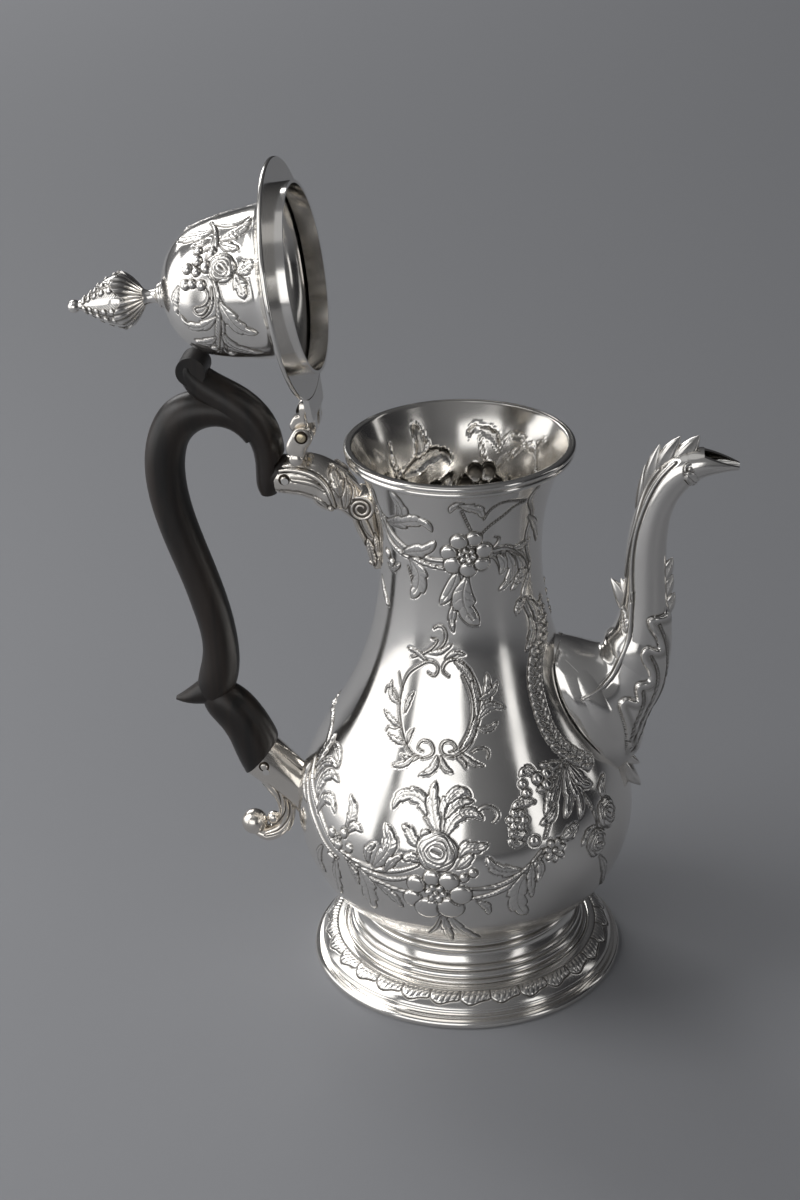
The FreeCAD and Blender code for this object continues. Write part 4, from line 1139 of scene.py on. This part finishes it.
def makeFinial():
    look = finial
    base = lidSkin["base"] + lidSkin["outline"][-1][1] + look["collar"] + look["stem"]
    knots = np.array(look["outline"])
    share = np.linspace(0, 1, look["rows"])[:, None]
    radius = cubicThrough(knots[:, 0], knots[:, 1], share)
    angle = turnAngles(look["columns"])
    step = 2 * np.pi / look["ridges"]
    lean = np.abs((angle + step / 2) % step - step / 2)
    away = lean * radius
    slant = share * look["height"] + look["hatchLean"] * away
    hatch = 0.5 + 0.5 * np.cos(2 * np.pi * slant / look["hatchPitch"])
    hatch = hatch * np.clip(away / look["hatchClear"] - 1, 0, 1) * (share > look["hatchFrom"])
    groove = ridge((step / 2 - lean) * radius, look["grooveWidth"])
    r = radius - look["hatchDepth"] * hatch - look["grooveDepth"] * groove * (share > look["grooveFrom"])
    darkness = np.maximum(look["hatchStain"] * hatch, look["grooveStain"] * groove)
    for spot in look["beadSpots"]:
        size = look["beadSize"] * (look["beadLowest"] - look["beadTaper"] * spot)
        distance = np.hypot(away - look["beadPlace"] * step * radius, (share - spot) * look["height"])
        r = np.maximum(r, radius + look["beadRise"] * rounded(distance / size) - look["beadSink"])
        edge = look["beadStain"] * ridge(distance - size, look["beadEdge"])
        darkness = np.maximum(darkness * (distance > size), edge)
    calyx = 2 * np.pi / look["calyxLeaves"]
    turned = angle % calyx - calyx / 2
    tall = look["calyxReach"] * (1 - look["calyxDip"] * (2 * turned / calyx) ** 2)
    up = share / tall
    rise = look["calyxRise"] * (look["calyxRoot"] + (1 - look["calyxRoot"]) * up ** 2)
    reed = 0.5 - 0.5 * np.cos(2 * np.pi * look["reeds"] * turned / calyx)
    r = np.where(up < 1, radius + rise - look["reedDepth"] * reed, r)
    edge = np.maximum(darkness, ridge(up - 1, look["calyxEdge"]))
    darkness = np.where(up < 1, look["reedStain"] * reed ** 2, edge)
    z = base + share * look["height"] + 0 * angle
    grid = np.stack([r * np.cos(angle), r * np.sin(angle), z], axis=-1)
    bud = gridMesh("finialBud", grid, darkness, chasedSilver, lidPlace, "lid")
    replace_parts(bud, "finial_bud", "finial_leaves")
    makeFinialBall(base + look["height"])
    print("finial made")


def makeFinialBall(budTop):
    look = finialBall
    turn = np.linspace(-0.5 * np.pi, 0.5 * np.pi, look["rows"])
    ball = look["radius"] * np.stack([np.cos(turn), np.sin(turn)], axis=1)
    ball = ball + (look["pole"], budTop + look["lift"])
    neck = np.array(look["neck"]) + (0, ball[0, 1])
    outline = np.concatenate([neck, ball[look["hiddenRows"]:]])
    tip = gridMesh("finialTip", turnedGrid(outline, look["columns"]), 0.0, plainSilver, lidPlace, "lid")
    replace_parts(tip, "finial_tip")


# The foot's turned steps, as radius and height from the ruffle up to the body; each bead is an arc
footSteps = {
    "columns": 420, "arcRows": 7, "apronRows": 28, "tuck": 0.06, "seamStain": 0.55,
    "below": [(53.0, 2.8), (55.5, 2.8), (55.5, 4.1), (54.3, 4.2), (54.3, 5.2)],
    "apron": ((54.3, 5.3), (50.7, 9.2), (46.6, 10.5)),
    "beads": {
        "ruffleBead": ((46.5, 10.4), (46.1, 11.1), (45.2, 10.9)),
        "stepBead": ((44.8, 10.6), (45.0, 11.7), (44.1, 12.2)),
        "lowBand": ((43.7, 12.2), (43.7, 13.5), (42.6, 14.7)),
        "middleBead": ((42.2, 14.8), (42.9, 16.0), (41.6, 17.1)),
        "hollowBand": ((41.2, 17.2), (40.3, 18.6), (39.5, 20.9)),
        "topBead": ((39.1, 21.0), (40.1, 21.9), (39.2, 22.7)),
        "neckBead": ((38.4, 22.9), (39.1, 23.8), (38.0, 24.8)),
    },
    "inside": [(37.6, 25.0), (36.2, 25.0), (36.2, 20.0), (43.2, 9.3), (50.0, 7.6), (53.0, 4.2), (53.0, 2.8)],
}


# Each row is doubled, with its twin tucked towards the next one, so that edges stay crisp
def makeFootSteps():
    look = footSteps
    arcs = [arcThrough(*look["apron"], look["apronRows"])]
    arcs += [arcThrough(*bead, look["arcRows"]) for bead in look["beads"].values()]
    outline = np.repeat(np.concatenate([look["below"], *arcs, look["inside"]]), 2, axis=0)
    outline[1:-1:2] += look["tuck"] * (outline[2::2] - outline[1:-1:2])
    outline[2:-1:2] += look["tuck"] * (outline[1:-2:2] - outline[2:-1:2])
    grid = turnedGrid(outline, look["columns"])
    darkness = np.zeros(grid.shape[:2])
    seam = len(look["below"])
    for arc in arcs:
        seam += len(arc)
        darkness[2 * seam - 2:2 * seam + 2] = look["seamStain"]
    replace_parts(gridMesh("footSteps", grid, darkness, chasedSilver), "foot_pedestal")
    print("foot steps made")


# The foot's ruffle: a border of hatched scallops with a chased line along its waves
footRuffle = {
    "inner": (45.3, 10.72), "crown": (50.7, 9.2), "outer": (54.2, 5.75), "columns": 1200, "rows": 60,
    "scallops": 29, "scallopWidth": 10.5, "bandWidth": 11.0, "bandStart": 0.28, "bandEnd": 0.82,
    "wave": 0.28, "waveLean": 0.25, "rise": 0.42, "dipRise": 0.6, "soft": 0.6,
    "hatches": 5, "hatchLean": 0.18, "hatchSharp": 3, "hatchDepth": 0.16, "hatchStain": 0.35,
    "waveLine": 0.34, "innerLine": 0.3, "innerLineShare": 0.7, "lineDepth": 0.2,
    "notchWidth": 0.4, "notchDepth": 0.15, "notchStain": 0.9,
    "lift": 0.10, "plump": 0.2, "fadeRows": 3, "hem": 0.16,
}


def makeFootRuffle():
    look = footRuffle
    arc = arcThrough(look["inner"], look["crown"], look["outer"], look["rows"])[::-1]
    grid = turnedGrid(arc, look["columns"])
    share = 1 - np.linspace(0, 1, look["rows"])[:, None]
    saw = np.arange(look["columns"])[None] / look["columns"] * look["scallops"] % 1
    wave = rounded(2 * saw - 1) * (1 - look["waveLean"] + look["waveLean"] * np.sin(2 * np.pi * saw))
    edge = look["bandEnd"] - look["wave"] * (1 - wave)
    inside = (share > look["bandStart"]) & (share < edge)
    depth = np.clip((share - look["bandStart"]) / (edge - look["bandStart"]), 0, 1)
    ruffle = look["rise"] * np.sin(np.pi * depth) ** look["soft"]
    ruffle = ruffle * (look["dipRise"] + (1 - look["dipRise"]) * wave)
    hatch = 0.5 + 0.5 * np.cos(2 * np.pi * look["hatches"] * (saw + look["hatchLean"] * depth))
    hatch = hatch ** look["hatchSharp"] * inside
    line = ridge((share - edge) * look["bandWidth"], look["waveLine"])
    innerLine = ridge((share - look["bandStart"]) * look["bandWidth"], look["innerLine"])
    line = line + look["innerLineShare"] * innerLine
    notch = ridge(np.minimum(saw, 1 - saw) * look["scallopWidth"], look["notchWidth"]) * inside
    height = ruffle * inside - look["hatchDepth"] * hatch + look["plump"]
    height = height - look["lineDepth"] * line - look["notchDepth"] * notch
    rows = np.arange(look["rows"])
    rim = np.minimum(rows, rows[::-1])[:, None]
    height = look["lift"] + height * np.clip(rim / look["fadeRows"], 0, 1) - look["hem"] * (rim == 0)
    darkness = np.maximum.reduce([line, look["notchStain"] * notch, look["hatchStain"] * hatch])
    gridMesh("footRuffle", raised(grid, height), darkness, chasedSilver)
    print("foot ruffle made")


# The spout's skin lies over its two cast halves and carries the raised ridges and leaf lobes
spoutSkin = {
    "spine": [
        (80.5, 198.2), (75.0, 195.0), (71.2, 190.6), (68.6, 185.5), (66.6, 179.6), (65.2, 173.0),
        (64.5, 164.0), (64.4, 155.0), (64.3, 146.5), (63.9, 138.0), (62.6, 129.6), (60.6, 122.0),
        (57.8, 115.8), (54.2, 110.6), (49.0, 106.6), (44.0, 104.0),
    ],
    "rows": 300, "columns": 200, "far": 45.0, "rowStep": 3, "nudge": 0.01, "wallStep": 0.05, "smoothings": 3,
    "lift": 0.22, "tuck": 0.1, "deepest": -0.2, "fadeRows": 8,
}

spoutChasing = {
    "shelves": {
        "lobedLeaf": ([
            (664, 604), (663, 614), (655, 616), (648, 619), (650, 630), (656, 640), (657, 648), (648, 646),
            (641, 651),
            (642, 663), (648, 674), (647, 680), (639, 682), (635, 690), (636, 699), (627, 697), (619, 703),
            (621, 715),
            (625, 730), (626, 744), (626, 758),
        ],),
    },
    "stems": {
        "saddleRidge": (
            [(633, 592), (631, 617), (629, 637), (621, 659), (604, 685), (583, 699), (556, 699)],
            1.0, 1, 1.0,
        ),
        "backRidge": (
            [(676, 463), (659, 480), (645, 506), (635, 538), (632, 570), (633, 600)], 0.8, 1, 0.7,
        ),
        "backRidgeOuter": ([(660, 470), (646, 490), (637, 518), (630, 546), (626, 576)], 0.7, 1, 0.6),
        "rootRidge": (
            [(552, 640), (549, 667), (554, 702), (568, 730), (592, 752), (611, 767)], 1.0, 1, 0.9,
        ),
        "collarLine": ([(560, 640), (556, 662), (560, 694)], 0.5, 1, 0.4),
        "lobeVeinFirst": (
            [(658, 624), (664, 644), (664, 668), (656, 696), (640, 728), (630, 750)], 0.5, 1, 1.35,
        ),
        "lobeVeinSecond": ([(650, 655), (656, 672), (652, 694), (638, 724), (629, 746)], 0.5, 1, 1.35),
        "lobeVeinThird": ([(642, 690), (642, 702), (634, 722), (628, 740)], 0.5, 1, 1.3),
    },
    "curls": {"mouthCurl": ((691, 469), 6, 150, 1.3, 0.8, 0.9)},
    "leaves": {
        "heelLeaf": ([(626, 632), (624, 606), (614, 584)], 2.2, 2, 0.9),
        "mouthLeaf": ([(686, 474), (693, 462), (699, 448)], 2.2, 2, 0.9),
    },
}


def nodeTree(*names):
    corners, faces = [], []
    for name in names:
        mesh = nodes[name].data
        first = len(corners)
        corners += [v.co.copy() for v in mesh.vertices]
        faces += [[first + k for k in face.vertices] for face in mesh.polygons]
    return BVHTree.FromPolygons(corners, faces)


# The farthest wall met by a ray that starts inside a hollow piece, in millimetres
def outerReach(tree, start, aim):
    reach = None
    here = 0.0
    while True:
        origin = (start + aim * here) * mm
        spot, normal, face, distance = tree.ray_cast(origin, aim, (spoutSkin["far"] - here) * mm)
        if spot is None:
            return reach
        reach = here + distance / mm
        here = reach + spoutSkin["wallStep"]


# Rays from the spine find the spout's outer wall; the gaps between them are filled in and smoothed
def spoutGrid(look):
    tree = nodeTree("spout_left_half", "spout_right_half")
    rows, coarse = look["rows"], look["columns"] // 2
    spine = np.insert(smoothLine(look["spine"], rows), 1, 0, axis=1)
    up = np.cross(sideways, unit(np.gradient(spine, axis=0)))
    angles = turnAngles(coarse)
    reach = np.full((rows, coarse), np.nan)
    for i in range(0, rows, look["rowStep"]):
        start = Vector(spine[i] + look["nudge"] * sideways)
        for j, angle in enumerate(angles[:coarse // 2 + 1]):
            aim = Vector(up[i] * math.cos(angle) + sideways * math.sin(angle))
            found = outerReach(tree, start, aim)
            if found:
                reach[i, j] = reach[i, -j % coarse] = found
    for j in range(coarse):
        known = np.nonzero(~np.isnan(reach[:, j]))[0]
        reach[:, j] = np.interp(np.arange(rows), known, reach[known, j])
    for smoothing in range(look["smoothings"]):
        reach = (np.roll(reach, 1, axis=1) + 2 * reach + np.roll(reach, -1, axis=1)) / 4
        reach[1:-1] = (reach[:-2] + 2 * reach[1:-1] + reach[2:]) / 4
    fine = turnAngles(look["columns"])
    closed = np.concatenate([reach, reach[:, :1]], axis=1)
    reach = np.stack([np.interp(fine, np.append(angles, 2 * np.pi), row) for row in closed])
    aim = sweptRings(0 * spine, up, sideways + 0 * spine, fine)
    return spine[:, None] + aim * reach[..., None]


def makeSpout():
    look = spoutSkin
    grid = spoutGrid(look)
    height, recess = chased(grid, (spoutChasing,))
    fade = np.clip(np.arange(look["rows"]) / look["fadeRows"], 0, 1)[:, None]
    height = (np.maximum(height, look["deepest"]) + look["lift"]) * fade - look["tuck"] * (1 - fade)
    # The spout's darkening holds the laid-on leaf's painted shade and painted shadow besides the tarnish in
    # its cuts
    gridMesh("spoutSkin", raised(grid, height), recess, chasedSilver)
    print("spout dressed")


# Cast leaf points: blades from root to tip in photo pixels, with half width and half thickness
thornLeaves = {
    "crest": {
        "node": "spout_crest_thorns",
        "blades": [
            ([(641, 512), (644, 488), (645, 465)], 2.6, 2.2),
            ([(648, 492), (652, 468), (660, 444)], 2.8, 2.3),
            ([(660, 474), (668, 454), (681, 436)], 3.1, 2.5),
            ([(676, 466), (688, 450), (700, 435)], 3.6, 2.8),
            ([(644, 494), (650, 480), (652, 465)], 1.8, 1.6),
            ([(658, 470), (664, 458), (669, 450)], 1.9, 1.6),
        ],
    },
    "heel": {
        "node": "spout_heel_thorn",

        "blades": [
            ([(629, 612), (621, 594), (611, 578)], 2.8, 2.3),
            ([(630, 606), (626, 592), (621, 578)], 2.2, 1.9),
        ],
    },
    "front": {
        "node": "spout_front_thorns",
        "blades": [
            ([(659, 582), (666, 570), (673, 557)], 2.6, 2.2),
            ([(660, 598), (667, 586), (673, 574)], 2.6, 2.2),
            ([(661, 614), (668, 604), (675, 592)], 2.6, 2.2),
        ],
    },
    "toe": {
        "node": "spout_toe_thorns",
        "blades": [
            ([(615, 744), (628, 757), (640, 763)], 3.1, 2.6),
            ([(616, 756), (630, 774), (641, 785)], 3.4, 2.8),
            ([(620, 738), (629, 748), (636, 751)], 2.0, 1.9),
        ],
    },
}

thornBlade = {
    "rows": 14, "columns": 16, "root": 0.28, "soft": 0.8, "tip": 0.02, "pinch": 0.35, "pinchWidth": 0.35,
    "rootStain": 0.5,
}


def bladeGrid(pixels, width, thickness):
    look = thornBlade
    line = smoothLine([onPlane(pixel) for pixel in pixels], look["rows"])
    aside = np.cross(sideways, unit(np.gradient(line, axis=0)))
    share = np.linspace(0, 1, look["rows"])
    swell = np.sin(np.pi * (look["root"] + (1 - look["root"]) * share)) ** look["soft"]
    swell[-1] = look["tip"]
    swell = swell[:, None]
    angle = turnAngles(look["columns"])
    pinch = 1 - look["pinch"] * ridge(np.cos(angle), look["pinchWidth"])
    return sweptRings(line, width * swell * aside, thickness * swell * sideways, angle, pinch)


def makeThorns():
    darkness = np.linspace(thornBlade["rootStain"], 0, thornBlade["rows"])[:, None]
    for name, group in thornLeaves.items():
        for i, blade in enumerate(group["blades"]):
            piece = gridMesh(f"{name}Thorn{i + 1}", bladeGrid(*blade), darkness, chasedSilver)
            if i == 0:
                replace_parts(piece, group["node"])
    print("thorns made")


makeLid()
makeFinial()
makeFootSteps()
makeFootRuffle()
makeSpout()
makeThorns()

# Cast fittings of the handle: spines in photo pixels on the middle plane, half heights and half widths
fittings = {
    "upperSocketSkin": {
        "nodes": ("upper_socket", "upper_socket_collar"), "rows": 170,
        "line": [
            (276, 474), (290, 474), (304, 474), (316, 477), (326, 482), (335, 489), (343, 493), (350, 498),
            (358, 506),
            (366, 516),
        ],
        "height": [6.3, 7.1, 7.8, 8.0, 8.0, 8.3, 6.8, 5.8, 5.0, 4.4],
        "width": [6.4, 7.2, 7.8, 7.8, 7.7, 7.9, 6.6, 5.6, 5.0, 4.4],
        "chasing": {
            "stems": {
                "borderBand": ([
                    (280, 471), (290, 470), (300, 471), (310, 474), (320, 480), (326, 487), (331, 497),
                    (335, 508),
                ], 1.15, 1, 0.8),
                "panelBand": ([(292, 480), (305, 482), (317, 486), (324, 491)], 0.9, 1, 0.35),
                "lowLine": ([(280, 491), (300, 493), (314, 497), (323, 502), (329, 508)], 0.6, 1, 0.5),
            },
            "leaves": {
                "collarBack": ([(353, 503), (351, 492), (349, 484), (344, 474)], 1.9, 2, 0.7),
                "collarMiddle": ([(345, 508), (346, 492), (343, 479), (337, 467)], 2.3, 2, 0.9),
                "collarFront": ([(338, 512), (340, 495), (337, 482), (331, 469)], 2.5, 2, 1.1),
            },
            "balls": {"tipBead": ((331, 508), 1.3, 1.2)},
        },
    },
    "bracketTail": {
        "nodes": ("upper_socket_bracket",), "rows": 110,
        "line": [(359, 502), (364, 514), (369, 530), (373, 541), (375, 550), (377, 560), (378, 567)],
        "height": [4.4, 4.6, 3.9, 3.3, 2.8, 2.3, 1.5],
        "width": [4.6, 4.6, 4.3, 4.0, 3.6, 3.0, 2.0],
        "chasing": {
            "stems": {
                "tailEdge": ([(354, 512), (358, 525), (364, 537), (369, 548)], 1.0, 1, 1.3),
                "tailVein": ([(363, 518), (367, 527), (372, 536)], 1.2, 1, 1.3),
            },
            "leaves": {
                "tailTip": ([(368, 540), (372, 552), (375, 566)], 1.6, 3, 1.2),
                "tailSide": ([(375, 534), (377, 546), (378, 558)], 1.2, 3, 1.0),
            },
            "balls": {"tailBead": ((372, 562), 1.2, 1.0)},
        },
    },
    "lowerScrollArm": {
        "nodes": ("lower_socket_scroll",), "rows": 150,
        "line": [
            (262, 766), (272, 777), (281, 789), (286.5, 801), (287.5, 812), (284.5, 822), (277, 829),
            (267, 831.5), (258, 828),
        ],
        "height": [2.8, 2.9, 2.7, 2.5, 2.4, 2.7, 3.0, 2.8, 2.0],
        "width": [7.0, 6.9, 6.4, 5.4, 4.8, 4.6, 4.4, 4.2, 3.4],
        "chasing": {
            "stems": {
                "armInner": (
                    [(271, 780), (279, 791), (283, 802), (283, 811), (280, 818), (273, 824)], 0.8, 1, 0.6,
                ),
                "armOuter": (
                    [(286, 791), (290, 803), (291, 813), (287, 824), (278, 832), (266, 835)], 0.8, 1, 0.6,
                ),
            },
        },
    },
}

fittingSkin = {"columns": 120, "endShare": 0.02, "deepest": -0.25, "fadeRows": 4}


def sweptGrid(look):
    knots = np.array([onPlane(pixel) for pixel in look["line"]])
    reach = runAlong(knots)
    where = np.linspace(0, reach[-1], look["rows"])
    line = smoothLine(knots, look["rows"])
    aside = np.cross(sideways, unit(np.gradient(line, axis=0)))
    cap = np.ones(look["rows"])
    cap[0] = cap[-1] = fittingSkin["endShare"]
    height = cap * cubicThrough(reach, np.array(look["height"]), where)
    width = cap * cubicThrough(reach, np.array(look["width"]), where)
    angle = turnAngles(fittingSkin["columns"])
    return sweptRings(line, height[:, None] * aside, width[:, None] * sideways, angle)


def makeFittings():
    for name, look in fittings.items():
        grid = sweptGrid(look)
        height, recess = chased(grid, (look["chasing"],))
        rows = np.arange(look["rows"])
        fade = np.clip((np.minimum(rows, rows[::-1]) - 1) / fittingSkin["fadeRows"], 0, 1)[:, None]
        carved = raised(grid, np.maximum(height, fittingSkin["deepest"]) * fade)
        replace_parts(gridMesh(name, carved, recess, castPaintedShadeSilver), *look["nodes"])
    print("handle fittings made")


# Balls at the scroll's curled end: middle in photo pixels and radius
scrollBalls = {"scrollBall": ((255, 821), 4.9), "scrollLobe": ((274, 817), 2.5)}
ballGrid = {"rows": 32, "columns": 48, "span": 0.495 * np.pi}


def makeScrollBalls():
    turn = np.linspace(-ballGrid["span"], ballGrid["span"], ballGrid["rows"])
    ball = turnedGrid(np.stack([np.cos(turn), np.sin(turn)], axis=1), ballGrid["columns"])
    for name, (pixel, radius) in scrollBalls.items():
        gridMesh(name, radius * ball + onPlane(pixel), 0.0, castPaintedShadeSilver)
    print("scroll balls made")


# A near piece and its mirror image on the far side; hands back the far one
def bothSides(name, grid, darkTone=0.0, material=castPaintedShadeSilver, body="pot"):
    gridMesh(name + "Near", grid, darkTone, material, body=body)
    mirrored = (grid * (1, -1, 1))[:, ::-1]
    return gridMesh(name + "Far", mirrored, darkTone, material, body=body)


# A turned shape laid on its side, with its top towards the near side
def facingDisc(outline, middle, columns=48):
    disc = turnedGrid(np.array(outline), columns)
    return np.stack([disc[..., 0] + middle[0], -disc[..., 2], disc[..., 1] + middle[2]], axis=-1)


# The bracket's volute: a drum across the middle plane, with a curled ridge on each of its faces
bracketVolute = {
    "middle": (361, 509), "side": 5.4, "radius": 4.6, "rimRows": 10, "rimBulge": 0.25, "rimStain": 0.1,
    "faceInset": 0.1, "faceRows": 2, "faceStain": 0.85, "pole": 0.01,
    "turns": 2.3, "startAngle": 120, "windIn": 0.80, "ridge": 0.55, "taper": 0.25, "end": 0.03,
    "rows": 90, "columns": 10,
}


def tubeGrid(line, sizes, columns):
    run = unit(np.gradient(line, axis=0))
    across = unit(np.cross(run, sideways))
    sizes = sizes[:, None]
    return sweptRings(line, sizes * across, sizes * np.cross(run, across), turnAngles(columns))


def makeBracketVolute():
    look = bracketVolute
    middle = onPlane(look["middle"], look["side"])
    share = np.linspace(0, 1, look["rows"])
    angle = math.radians(look["startAngle"]) - 2 * np.pi * look["turns"] * share
    away = look["radius"] * (1 - look["windIn"] * share)
    line = middle + np.stack([away * np.cos(angle), 0 * away, away * np.sin(angle)], axis=1)
    sizes = look["ridge"] * (1 - look["taper"] * share)
    sizes[0] = sizes[-1] = look["end"]
    bothSides("voluteCurl", tubeGrid(line, sizes, look["columns"]))
    turn = np.linspace(-0.5 * np.pi, 0.5 * np.pi, look["rimRows"])
    rim = np.stack([look["radius"] + look["rimBulge"] * np.cos(turn), look["side"] * np.sin(turn)], axis=1)
    face = look["side"] - look["faceInset"]
    drum = facingDisc(np.concatenate([[(look["pole"], -face)], rim, [(look["pole"], face)]]), middle)
    darkness = np.full((len(drum), 1), look["rimStain"])
    darkness[:look["faceRows"]] = darkness[-look["faceRows"]:] = look["faceStain"]
    gridMesh("voluteDrum", drum, darkness, castPaintedShadeSilver)
    print("bracket volute made")


# The hinge's near cheek and the lid's knuckle above the pin, both mirrored: outlines in photo pixels
hingeCheek = {
    "outline": [
        (290, 437), (287, 443), (286, 450), (289, 456), (297, 459), (303, 458), (306, 449), (311, 443),
        (312, 437),
        (308, 431), (301, 429), (294, 431),
    ],
    "side": 11.6, "rise": 0.9, "thickness": 2.6, "rings": 9, "columns": 72,
}
lidKnuckle = {
    "outline": [
        (291, 421), (290, 428), (293, 431), (298, 429), (308, 430), (308, 424), (306, 416), (305, 404),
        (300, 404),
        (299, 415), (294, 417),
    ],
    "side": 8.2, "rise": 0.7, "thickness": 3.0, "rings": 9, "columns": 96,
}
hingeBase = {
    "middle": (296, 460), "side": hingeCheek["side"], "radius": 2.5,
    "endRows": 8, "endShare": 0.5, "pole": 0.02,
}

# Pin ends: place in photo pixels, distance from the middle plane, ring and head radius
hingePinEnd = ((301, 438), hingeCheek["side"] + hingeCheek["rise"], 2.3, 1.6)
handleRivets = {"upperRivet": ((284, 480), 7.3, 2.0, 1.25), "lowerRivet": ((264, 767), 8.7, 1.9, 1.3)}
plateEdge = {"back": (0.02, 1.0), "front": 1.0, "inset": 0.97, "pole": 0.02, "domeFullness": 6}
rivetShape = {
    "sunk": 0.5, "ringRise": 0.08, "ringStain": 1.0, "floorRise": 0.1, "edgeRise": 0.3,
    "shoulderShare": 0.8, "shoulderRise": 0.55, "crownRise": 0.65, "pole": 0.02,
}


# A plate parallel to the middle plane, with a domed near face
def plateGrid(look):
    edge = [onPlane(pixel, look["side"]) for pixel in look["outline"]]
    edge = smoothLine(edge + edge[:1], look["columns"] + 1)[:-1]
    middle = edge.mean(axis=0)
    face = np.linspace(plateEdge["inset"], plateEdge["pole"], look["rings"])
    scale = np.array([*plateEdge["back"], plateEdge["front"], *face])
    rise = look["rise"] * (1 - scale ** plateEdge["domeFullness"])
    rise[:len(plateEdge["back"])] = -look["thickness"]
    plate = middle + (edge - middle)[None] * scale[:, None, None]
    plate[..., 1] = -look["side"] - rise[:, None]
    return plate


# A pin's end as a low dome in a dark ring, on both sides
def makeRivet(name, pixel, side, ring, head, material, slot):
    look = rivetShape
    spot = onPlane(pixel, side)
    floor = side + look["floorRise"]
    root = side - look["sunk"]
    groove = [(ring, root), (ring, side + look["ringRise"]), (head, floor), (look["pole"], floor)]
    bothSides(name + "Ring", facingDisc(groove, spot), look["ringStain"])
    shoulder = (look["shoulderShare"] * head, side + look["shoulderRise"])
    crown = (look["pole"], side + look["crownRise"])
    dome = [(head, root), (head, side + look["edgeRise"]), shoulder, crown]
    bothSides(name + "End", facingDisc(dome, spot), 0.0, material)


# The bar under the cheeks, rounded at both ends
def makeHingeBase():
    look = hingeBase
    turn = np.linspace(0, 0.5 * np.pi, look["endRows"])
    end = look["radius"] * np.stack([np.cos(turn), look["endShare"] * np.sin(turn)], axis=1)
    end[-1, 0] = look["pole"]
    end = end + (0, look["side"])
    bar = np.concatenate([(end * (1, -1))[::-1], end])
    gridMesh("hingeBase", facingDisc(bar, onPlane(look["middle"], look["side"])), 0.0, castPaintedShadeSilver)


def makeHinge():
    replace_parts(bothSides("hingeCheek", plateGrid(hingeCheek)), "hinge_stand")
    bothSides("lidKnuckle", plateGrid(lidKnuckle), body="lid")
    makeHingeBase()
    makeRivet("hingePin", *hingePinEnd, pinBrass, "pin_brass")
    for name, rivet in handleRivets.items():
        makeRivet(name, *rivet, castPaintedShadeSilver, "silver")
    print("hinge made")


makeFittings()
makeScrollBalls()
makeBracketVolute()
makeHinge()
